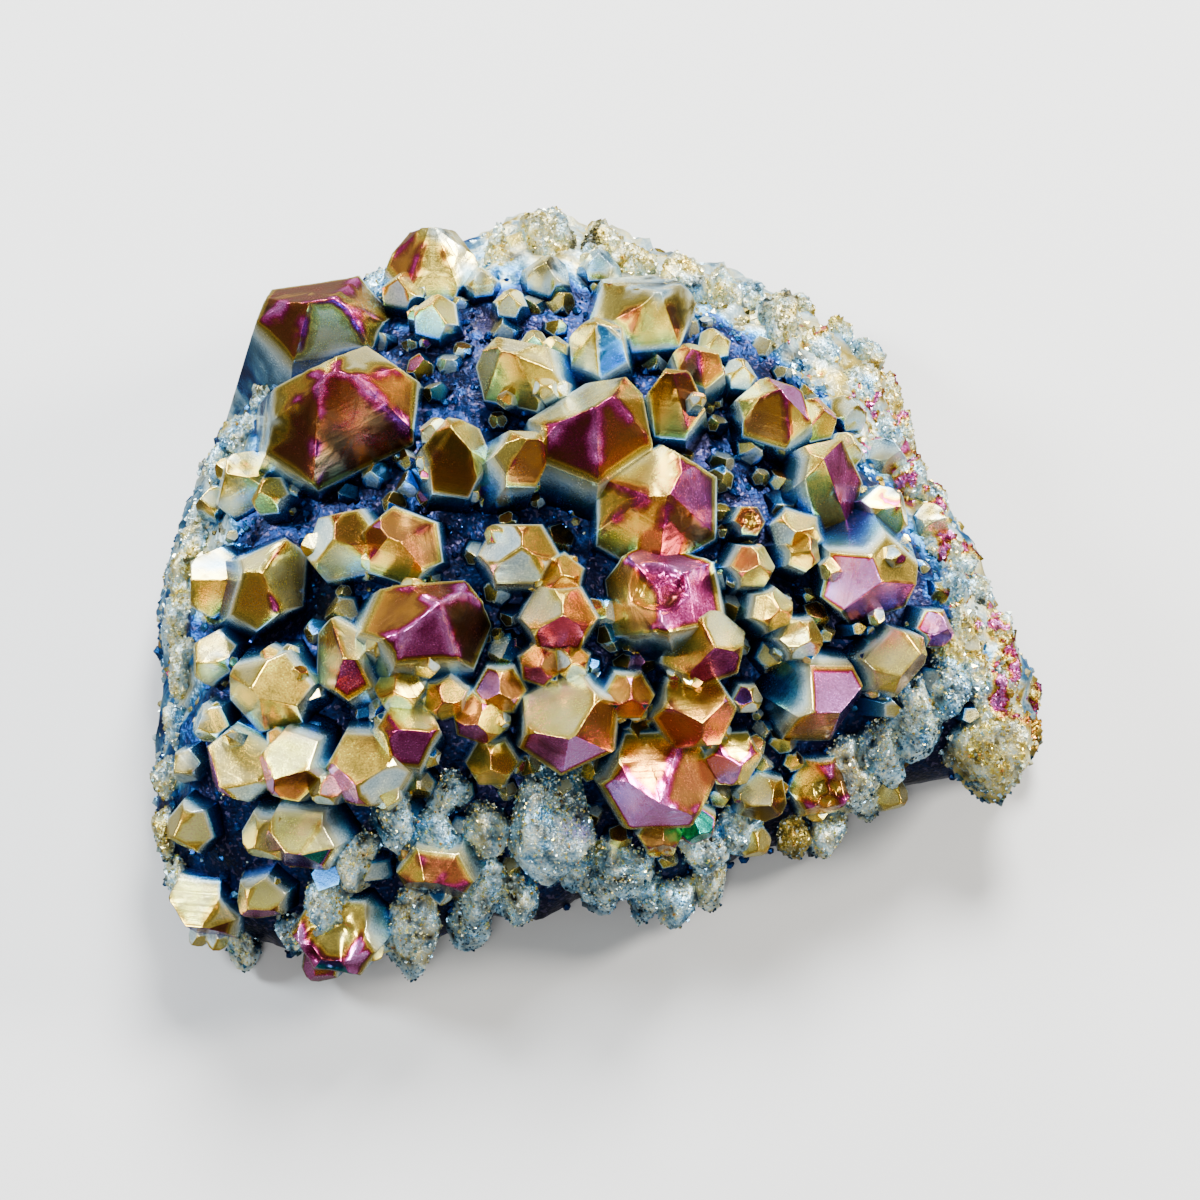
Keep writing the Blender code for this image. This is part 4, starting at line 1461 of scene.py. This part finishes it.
@dataclass(frozen=True)
class Grains(Piece):
    """Fine grains: tiny points with a few sides. A pair holds the ends of a random range."""

    SMOOTH = False

    count: int
    sizes: Pair
    seed: int
    sides: int = 6
    height_share: float = 0.35
    tip_share: float = 0.35
    size_power: float = 0.8
    lean_spread: float = 0.28
    widths: Pair = (0.75, 1.1)
    heights: Pair = (0.7, 1.25)
    tip_spread: float = 0.09
    sink: float = 0.2
    coat_ends: Pair = (0.05, -0.05)

    def template(self) -> tuple[Array, Array, Array]:
        """A grain one unit wide, standing on the origin.

        Returns:
            Points, quads and triangles.
        """
        angle = math.tau * np.arange(self.sides) / self.sides
        ring = np.column_stack([np.cos(angle) / 2, np.sin(angle) / 2, 0 * angle])
        shoulder = ring + np.array([0, 0, self.height_share])
        points = np.vstack([(0, 0, self.height_share + self.tip_share), shoulder, ring])
        quads = ring_faces(self.sides, 2, 1)
        foot = 1 + self.sides
        second = foot + 1 + np.arange(self.sides - 2)
        sole = np.column_stack([np.full(self.sides - 2, foot), second + 1, second])
        return points, quads, np.vstack([fan_faces(self.sides, 0, 1), sole])

    def grow(self, seat: Array, normal: Array, coat: Array, tone: Array,
             rng: np.random.Generator) -> list[Patch]:
        """Stand a grain on each seat.

        Args:
            seat: Foot of each grain in millimetres.
            normal: Direction in which each grain points.
            coat: Coat of each grain.
            tone: Tone of each grain.
            rng: Source of the random sizes and turns.

        Returns:
            One patch with all the grains.
        """
        points, quads, triangles = self.template()
        count, total = len(seat), len(points)
        least, most = self.sizes
        size = least + (most - least) * rng.power(self.size_power, count) ** 2
        axis = unit(normal + rng.normal(0.0, self.lean_spread, (count, 3)))
        first = unit(np.cross(axis, rng.normal(0.0, 1.0, (count, 3))))
        frame = np.stack([first, np.cross(axis, first), axis], axis=1)
        scale = size[:, None] * np.column_stack([
            np.ones(count), rng.uniform(*self.widths, count), rng.uniform(*self.heights, count)])
        shape = np.repeat(points[None], count, axis=0) * scale[:, None]
        shape[:, 0, :2] += rng.normal(0.0, self.tip_spread, (count, 2)) * size[:, None]
        sink = self.sink * size[:, None, None] * axis[:, None]
        placed = seat[:, None] + shape @ frame - sink
        start = (np.arange(count) * total)[:, None, None]
        return [Patch(
            placed.reshape(-1, 3),
            (coat[:, None] + np.linspace(*self.coat_ends, total)).ravel(),
            np.repeat(tone, total),
            placed[..., 2].ravel(),
            (quads + start).reshape(-1, 4),
            (triangles + start).reshape(-1, 3),
        )]


@dataclass(frozen=True)
class MatrixGrains(Grains):
    """Grains over the dome, or those over its crusted rim and the flank under it alone."""

    crusted: bool = False
    rim_shares: Pair = (0.5, 1.02)
    flank_share: float = 0.3
    flank_fall: float = 0.9
    flank_rise: float = 0.3
    margin: float = 0.4
    crust_needed: Pair = (0.1, 0.7)
    coats: Pair = (0.0, 0.09)
    cloud: Noise = Noise(0.0, 3.5, 2, 0.08, 0.08)
    rich_share: float = 0.05
    rich_coats: Pair = (0.25, 0.5)
    tones: Pair = (0.2, 0.75)
    coat_spread: float = 0.02
    tone_scales: Pair = (0.7, 1.2)

    def seats(self, rng: np.random.Generator) -> tuple[Array, Array]:
        """Draw where the grains stand.

        Args:
            rng: Source of the random places.

        Returns:
            The foot of each grain, and the direction in which the surface faces there.
        """
        bearing = rng.uniform(-math.pi, math.pi, self.count)
        reach, level = DOME.rim_at(bearing)
        inner, outer = self.rim_shares
        radius = reach * np.sqrt(rng.uniform(inner if self.crusted else 0.0, outer, self.count))
        share = self.flank_share if self.crusted else 0.0
        flank = rng.uniform(0.0, 1.0, self.count) < share
        fall = rng.uniform(0.0, self.flank_fall, self.count)
        matrix = MatrixBody()
        ways, levels = np.array(matrix.knots)[::-1].T
        radius = np.where(flank, reach * np.interp(1.0 - fall, levels, ways), radius)
        x, y = DOME.around(bearing, radius)
        seat = np.column_stack([x, y, np.where(flank, level * (1.0 - fall), DOME.ground(x, y))])
        seat = np.where(flank[:, None], matrix.roughened(seat), seat)
        rise = np.full(self.count, self.flank_rise)
        outward = unit(np.column_stack([np.cos(bearing), np.sin(bearing), rise]))
        return seat, np.where(flank[:, None], outward, DOME.facing(x, y))

    def patches(self, box: Box) -> list[Patch]:
        """Draw the grains and coat them.

        Args:
            box: What the points are held within.

        Returns:
            One patch with all the grains.
        """
        rng, grit = np.random.default_rng(self.seed), Grit(self.seed)
        seat, normal = self.seats(rng)
        inside = (seat > box.low + self.margin) & (seat < box.high - self.margin)
        inside = inside.all(axis=1)
        if self.crusted:
            inside &= CRUST.share(seat) > rng.uniform(*self.crust_needed, self.count)
        seat, normal = seat[inside], normal[inside]
        count = len(seat)
        coat = rng.uniform(*self.coats, count) + grit.layered(seat, self.cloud)
        rich = rng.uniform(0, 1, count) < self.rich_share
        coat = np.where(rich, rng.uniform(*self.rich_coats, count), coat)
        tone = rng.uniform(*self.tones, count)
        coat, tone = CRUST.over(seat, coat, tone, grit)
        coat = coat + rng.normal(0.0, self.coat_spread, count)
        tone = tone * rng.uniform(*self.tone_scales, count)
        return self.grow(seat, normal, coat, tone, rng)


@dataclass(frozen=True)
class LumpGrains(Grains):
    """Grains over the upper sides of some of the lumps, with painted glints among them; grains
    that face up are painted lighter, those that face down darker and bluer as shade.
    """

    first: int = 0
    last: int = FIRST_RIM_LUMP
    upward: float = 0.5
    lit_rise: Pair = (-0.4, 0.7)
    shade_coat: float = 0.32
    coat_spread: float = 0.03
    tones: Pair = (0.3, 1.7)
    tone_limits: Pair = (0.1, 1.1)
    underside_painted_shade: float = 0.3
    glint_share: float = 0.5
    glint_coats: Floats = (
        0.41, 0.43, 0.44, 0.45, 0.46, 0.46, 0.47, 0.48, 0.49, 0.50, 0.52, 0.56, 0.64, 0.36,
    )
    glint_spread: float = 0.02
    glint_tones: Pair = (0.9, 1.6)

    def patches(self, box: Box) -> list[Patch]:
        """Draw the grains and coat them.

        Args:
            box: What the points are held within.

        Returns:
            One patch with all the grains.
        """
        lumps, count = RoughLumps(), self.count
        rng, grit = np.random.default_rng(self.seed), Grit(lumps.seed)
        chosen = range(self.first, self.last)
        area = np.array([LUMPS[index].width for index in chosen]) ** 2
        index = np.sort(self.first + rng.choice(len(chosen), count, p=area / area.sum()))
        out = unit(rng.normal(0.0, 1.0, (count, 3)))
        out = unit(out + self.upward * PLANE.axes[2])
        centres = lumps.centres()
        seat = np.concatenate([
            lumps.surface(number, out[index == number], centres[number], grit)[0]
            for number in chosen
        ])
        own_coat, own_tone = Coat.of("".join(lump.coat for lump in LUMPS))[index].T
        # Painted light and shade by facing: upward grains keep their own coat and tone, downward
        # ones go bluer and darker.
        lit = smooth_step(*self.lit_rise, out[:, 2])
        coat = self.shade_coat + (own_coat - self.shade_coat) * lit
        coat = coat + rng.normal(0.0, self.coat_spread, count)
        # Painted glints: some upward grains get a pale coat and a high tone.
        glint = rng.choice(np.array(self.glint_coats), count)
        glint = glint + rng.normal(0, self.glint_spread, count)
        rich = rng.uniform(0.0, 1.0, count) < self.glint_share * lit
        coat = np.where(rich, glint, coat)
        tone = np.clip(own_tone * rng.uniform(*self.tones, count), *self.tone_limits)
        tone = np.where(rich, rng.uniform(*self.glint_tones, count), tone)
        tone = tone * (self.underside_painted_shade + (1.0 - self.underside_painted_shade) * lit**2)
        coat, tone = CRUST.over(seat, coat, tone, grit)
        return self.grow(seat, out, coat, tone, rng)


# ---- finishes


class Nodes:
    """A material's nodes."""

    def __init__(self, material: bpy.types.Material) -> None:
        """Take over the nodes of a new material and find its shader."""
        material.use_nodes = True
        self.tree = material.node_tree
        self.shader = self.tree.nodes["Principled BSDF"]

    def link(self, value: Any, socket: bpy.types.NodeSocket) -> None:
        """Join a wrapped socket to a socket, or set its value.

        Args:
            value: A wire or a plain value.
            socket: The socket that takes it.
        """
        if isinstance(value, Wire):
            self.tree.links.new(value.socket, socket)
        else:
            socket.default_value = value

    def node(self, kind: str, settings: dict[str, Any] | None = None,
             output: int | str = 0, **inputs: Any) -> Wire:
        """Add a node.

        Args:
            kind: Type name of the node.
            settings: Its settings, set first; stops give the colours of a ramp.
            output: Which of its outputs is returned.
            **inputs: Values or wires for its sockets, by name, or by number after an s.

        Returns:
            The wrapped output.
        """
        made = self.tree.nodes.new(kind)
        for key, value in (settings or {}).items():
            if key == "stops":
                self.fill_ramp(made.color_ramp, value)
            else:
                setattr(made, key, value)
        for key, value in inputs.items():
            socket = made.inputs[int(key[1:])] if key[1:].isdigit() else made.inputs[
                key.replace("_", " ")]
            self.link(value, socket)
        return Wire(self, made.outputs[output])

    @staticmethod
    def fill_ramp(ramp: bpy.types.ColorRamp, stops: tuple[tuple[float, Any], ...]) -> None:
        """Put stops into a ramp, which starts with two.

        Args:
            ramp: The ramp.
            stops: Place and colour of each stop.
        """
        while len(ramp.elements) < len(stops):
            ramp.elements.new(1.0)
        for element, (place, colour) in zip(ramp.elements, stops):
            element.position = place
            element.color = (*colour, 1.0)

    def value(self, name: str) -> Wire:
        """A named value of the mesh."""
        return self.node("ShaderNodeAttribute", {"attribute_name": name}, "Fac")


class Wire:
    """A socket on which arithmetic adds Math nodes."""

    def __init__(self, nodes: Nodes, socket: bpy.types.NodeSocket) -> None:
        """Wrap a socket of these nodes."""
        self.nodes = nodes
        self.socket = socket

    def math(self, operation: str, first: Any, second: Any, clamp: bool = False) -> Wire:
        """Add one Math node."""
        settings = {"operation": operation, "use_clamp": clamp}
        return self.nodes.node("ShaderNodeMath", settings, s0=first, s1=second)

    def __add__(self, other: Any) -> Wire:
        """Sum."""
        return self.math("ADD", self, other)

    def __sub__(self, other: Any) -> Wire:
        """Difference."""
        return self.math("SUBTRACT", self, other)

    def __rsub__(self, other: Any) -> Wire:
        """Difference from a number."""
        return self.math("SUBTRACT", other, self)

    def __mul__(self, other: Any) -> Wire:
        """Product."""
        return self.math("MULTIPLY", self, other)

    def __gt__(self, other: Any) -> Wire:
        """One where this is the larger."""
        return self.math("GREATER_THAN", self, other)

    def magnitude(self) -> Wire:
        """Absolute value."""
        return self.math("ABSOLUTE", self, 0.0)

    def clamped(self) -> Wire:
        """Held between 0 and 1."""
        return self.math("ADD", self, 0.0, clamp=True)

    __radd__ = __add__
    __rmul__ = __mul__


@dataclass(frozen=True)
class FilmFinish:
    """Quartz under a thin metal film, whose colour follows the film's thickness, scaled by a tone
    that holds painted light and shade.
    """

    name: str
    metallic: float = 0.92
    milk: float = 0.4
    milk_place: float = 0.44
    milk_reach: float = 0.09
    roughness: float = 0.16
    roughness_spread: float = 0.3
    cloud_size: float = 2.2
    cloud_detail: float = 3.0
    cloud_shift: float = 0.042
    cloud_tone: float = 0.5
    speck_size: float = 0.13
    speck_detail: float = 2.0
    speck_shift: float = 0.022
    speck_tone: float = 1.1
    least_tone: float = 0.2
    bump: float = 0.35
    bump_depth: float = 0.025
    bump_specks: float = 0.6
    striation: float = 1.6
    striation_scale: float = 3.2
    lavender: float = 0.5
    lavender_colour: Colour = (0.34, 0.28, 0.58)
    lavender_size: float = 0.35
    lavender_limit: float = 0.62
    lavender_fall: float = 5.0
    stops: tuple[tuple[float, Colour], ...] = (
        (0.00, (0.08, 0.06, 0.24)),
        (0.08, (0.004, 0.014, 0.085)),
        (0.17, (0.012, 0.10, 0.46)),
        (0.26, (0.04, 0.30, 0.82)),
        (0.34, (0.20, 0.60, 0.96)),
        (0.42, (0.68, 0.94, 1.00)),
        (0.48, (1.00, 0.95, 0.54)),
        (0.54, (0.98, 0.76, 0.15)),
        (0.595, (0.64, 0.45, 0.07)),
        (0.645, (1.00, 0.63, 0.07)),
        (0.675, (0.92, 0.40, 0.05)),
        (0.70, (0.44, 0.18, 0.04)),
        (0.735, (0.38, 0.09, 0.03)),
        (0.762, (0.38, 0.03, 0.09)),
        (0.782, (0.62, 0.04, 0.24)),
        (0.805, (0.95, 0.14, 0.56)),
        (0.835, (1.00, 0.36, 0.84)),
        (0.88, (0.80, 0.26, 0.84)),
        (0.92, (0.22, 0.01, 0.40)),
        (0.96, (0.00, 0.14, 0.26)),
        (1.00, (0.00, 0.45, 0.32)),
    )

    def material(self) -> bpy.types.Material:
        """Build the material.

        Returns:
            The new material.
        """
        material = bpy.data.materials.new(self.name)
        nodes = Nodes(material)
        place = nodes.node("ShaderNodeTexCoord", output="Object")
        cloud = self.noise(nodes, place, self.cloud_size, self.cloud_detail)
        speck = self.noise(nodes, place, self.speck_size, self.speck_detail)
        film = nodes.value("coat")
        film = film + (cloud - 0.5) * (2 * self.cloud_shift)
        film = film + (speck - 0.5) * (2 * self.speck_shift)
        colour = nodes.node("ShaderNodeValToRGB", {"stops": self.stops}, "Color", Fac=film)
        colour = self.with_specks(nodes, colour, place, film)
        bright = self.least_tone + speck * self.speck_tone + cloud * self.cloud_tone
        # The tone scales the film colour; it holds the film's brightness and the light and shade
        # painted into the meshes.
        tone = nodes.value("tone") * bright
        colour = nodes.node("ShaderNodeVectorMath", {"operation": "SCALE"}, s0=colour, s3=tone)
        shader = nodes.shader.inputs
        nodes.link(colour, shader["Base Color"])
        nodes.link(self.roughness + (cloud * speck) * self.roughness_spread, shader["Roughness"])
        milk = self.milk_reach - (film - self.milk_place).magnitude()
        milk = (milk * (1.0 / self.milk_reach)).clamped()
        nodes.link(self.metallic - milk * self.milk, shader["Metallic"])
        grown = nodes.node("ShaderNodeTexNoise", {"noise_dimensions": "1D"},
                           W=nodes.value("grow"), Scale=self.striation_scale, Detail=3.0)
        relief = speck * self.bump_specks + grown * self.striation
        bump = nodes.node("ShaderNodeBump", None, "Normal", Strength=self.bump,
                          Distance=self.bump_depth * MM, Height=relief)
        nodes.link(bump, shader["Normal"])
        return material

    @staticmethod
    def noise(nodes: Nodes, place: Wire, size: float, detail: float) -> Wire:
        """Noise whose grains are this many millimetres across."""
        return nodes.node("ShaderNodeTexNoise", None, 0, Vector=place,
                          Scale=1.0 / (size * MM), Detail=detail)

    def with_specks(self, nodes: Nodes, colour: Wire, place: Wire, film: Wire) -> Wire:
        """Lay lavender specks where the film is thinnest.

        Args:
            nodes: Nodes of the material.
            colour: Colour so far.
            place: Place in the object.
            film: Thickness of the film.

        Returns:
            The colour with the specks.
        """
        spots = self.noise(nodes, place, self.lavender_size, 1.0) > self.lavender_limit
        share = spots * (1.0 - film * self.lavender_fall).clamped() * self.lavender
        return nodes.node("ShaderNodeMix", {"data_type": "RGBA"}, 2, s0=share, s6=colour,
                          s7=(*self.lavender_colour, 1.0))


@dataclass(frozen=True)
class FloorFinish:
    """Plain pale floor."""

    name: str = "pale_floor"
    colour: Colour = (0.72, 0.72, 0.71)
    roughness: float = 0.9

    def material(self) -> bpy.types.Material:
        """Build the material."""
        material = bpy.data.materials.new(self.name)
        nodes = Nodes(material)
        nodes.shader.inputs["Base Color"].default_value = (*self.colour, 1.0)
        nodes.shader.inputs["Roughness"].default_value = self.roughness
        return material


# ---- studio


@dataclass(frozen=True)
class SoftBox:
    """A large soft light."""

    name: str
    place: Triple
    size: float
    power: float
    colour: Colour = (1.0, 1.0, 1.0)
    aim: Triple = (0.0, 0.0, 0.01)

    def build(self) -> None:
        """Hang the light and turn it to its aim."""
        data = bpy.data.lights.new(self.name, "AREA")
        data.shape = "DISK"
        data.size = self.size
        data.energy = self.power
        data.color = self.colour
        light = linked(self.name, data)
        light.location = self.place
        back = unit(np.array(self.place) - np.array(self.aim))
        side = unit(np.cross([0.0, 0.0, 1.0], back))
        turn = np.column_stack([side, np.cross(back, side), back])
        light.rotation_euler = Matrix(turn.tolist()).to_euler()


@dataclass(frozen=True)
class Studio:
    """Pale floor, soft lights, dim surroundings and the camera."""

    floor_size: float = 12.0
    floor_segments: int = 8
    frame_width: float = 84.0
    frame_shift: float = 0.7
    sensor: float = 36.0
    near: float = 0.01
    surroundings: float = 0.24
    lights: tuple[SoftBox, ...] = (
        SoftBox("key_softbox", (0.10, 0.40, 0.40), 0.20, 10.0),
        SoftBox("back_softbox", (-0.08, 0.62, 0.13), 0.24, 4.5),
        SoftBox("right_softbox", (0.45, 0.10, 0.22), 0.14, 5.0, (1.0, 0.96, 0.9)),
        SoftBox("left_softbox", (-0.42, 0.10, 0.30), 0.14, 4.0, (0.86, 0.93, 1.0)),
        SoftBox("eye_softbox", (-0.05, -0.30, 0.52), 0.20, 1.2),
    )

    def build_floor(self) -> bpy.types.Object:
        """A level sheet at z = 0: x and y on an even grid.

        Returns:
            The new floor.
        """
        count = self.floor_segments + 1
        line = np.linspace(-self.floor_size / 2, self.floor_size / 2, count)
        x, y = np.meshgrid(line, line)
        points = np.column_stack([x.ravel(), y.ravel(), np.zeros(x.size)])
        index = np.arange(x.size).reshape(count, count)
        faces = np.stack([index[:-1, :-1], index[:-1, 1:], index[1:, 1:], index[1:, :-1]], -1)
        mesh = bpy.data.meshes.new("floor")
        mesh.from_pydata(points.tolist(), [], faces.reshape(-1, 4).tolist())
        mesh.materials.append(FloorFinish().material())
        floor = linked("floor", mesh)
        floor.visible_glossy = False
        return floor

    def build_camera(self) -> None:
        """The camera at the eye of the drawing plane."""
        data = bpy.data.cameras.new("camera")
        data.sensor_width = self.sensor
        data.lens = self.sensor * PLANE.eye / self.frame_width
        data.shift_y = self.frame_shift / self.frame_width
        data.clip_start = self.near
        camera = linked("camera", data)
        camera.location = (np.array(PLANE.origin) + PLANE.axes[2] * PLANE.eye) * MM
        camera.rotation_euler = (math.pi / 2 - PLANE.rise, 0.0, 0.0)
        bpy.context.scene.camera = camera

    def build_surroundings(self) -> None:
        """Dim grey light from everywhere."""
        world = bpy.data.worlds.new("surroundings")
        world.use_nodes = True
        colour = world.node_tree.nodes["Background"].inputs["Color"]
        colour.default_value = (*[self.surroundings] * 3, 1.0)
        bpy.context.scene.world = world

    def build(self) -> None:
        """Put up the whole studio."""
        self.build_floor()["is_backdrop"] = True
        for light in self.lights:
            light.build()
        self.build_surroundings()
        self.build_camera()


# ---- the whole piece


class Finish(Enum):
    """Finishes of the pieces."""

    FACETS = FilmFinish("film_on_facets")
    SMALL = FilmFinish("film_on_small_points", cloud_shift=0.06)
    MATRIX = FilmFinish("film_on_matrix", metallic=0.85, roughness=0.30, speck_shift=0.05,
                        speck_size=0.26, bump=1.0, bump_depth=0.14, lavender=1.0, striation=0.0)
    ROUGH = FilmFinish("film_on_rough_lumps", metallic=0.85, roughness=0.24, speck_shift=0.10,
                       speck_size=0.20, cloud_size=1.3, cloud_shift=0.06, bump=1.0,
                       bump_depth=0.16, striation=0.0)
    GRAINS = FilmFinish("film_on_grains", metallic=0.9, roughness=0.16, bump=0.15,
                        bump_depth=0.06, striation=0.0)


@dataclass(frozen=True)
class Cluster:
    """The whole grown piece."""

    fill: GapFill = GapFill()
    more_fill: GapFill = GapFill(seed=12, tries=2500, count=150, gap=0.36, widths=(0.7, 2.2),
                                 rise=0.9)
    growths: SideGrowths = SideGrowths()
    grains: tuple[tuple[Piece, Finish], ...] = (
        (RoughLumps(), Finish.ROUGH),
        (MatrixGrains("matrix_grains", 3600, (0.18, 0.75), 51), Finish.GRAINS),
        (MatrixGrains("crust_grains", 22000, (0.2, 0.9), 54, sides=5, crusted=True),
         Finish.GRAINS),
        (LumpGrains("lump_grains", 19500, (0.11, 0.34), 52, sides=3), Finish.GRAINS),
        (LumpGrains("rim_grains", 14000, (0.14, 0.55), 53, sides=3, glint_share=0.35,
                    first=FIRST_RIM_LUMP, last=len(LUMPS)), Finish.GRAINS),
    )

    def pieces(self) -> list[tuple[Piece, Finish]]:
        """Lay out every sub-assembly.

        Returns:
            The pieces in order, each with its finish.
        """
        large = {"back_points": BACK_POINTS, "left_points": LEFT_POINTS,
                 "right_points": RIGHT_POINTS, "front_points": FRONT_POINTS}
        main_rows = sum(large.values(), ())
        fill = self.fill.rows(main_rows)
        small = {"small_points": fill + self.more_fill.rows(main_rows + fill),
                 "side_growths": self.growths.rows(main_rows)}
        return [
            (MatrixBody(), Finish.MATRIX),
            *((GrownPoints(name, rows, step=0.3, bevel=0.05, seed=41), Finish.FACETS)
              for name, rows in large.items()),
            *((GrownPoints(name, rows, step=0.8, bevel=0.03, seed=42, step_share=0.45),
               Finish.SMALL) for name, rows in small.items()),
            *self.grains,
        ]

    def build(self, box: Box) -> None:
        """Build each piece, finish it, hang it on the body and hide the frame's part that it
        stands in for.

        Args:
            box: What the points are held within.
        """
        for piece, finish in self.pieces():
            obj = piece.build(box)
            obj.data.materials.append(finish.value.material())
            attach(obj, BODY)
            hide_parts(NODE)
            count = sum(len(face.vertices) - 2 for face in obj.data.polygons)
            LOG.info("%s: %d triangles", obj.name, count)


def main() -> None:
    """Dress the frame."""
    logging.basicConfig(level=logging.INFO, format="%(message)s")
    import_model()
    cad_box = [list(corner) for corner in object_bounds()]
    Cluster().build(Box(*(np.array(corner) / MM for corner in cad_box)))
    Studio().build()


if __name__ == "__main__":
    main()
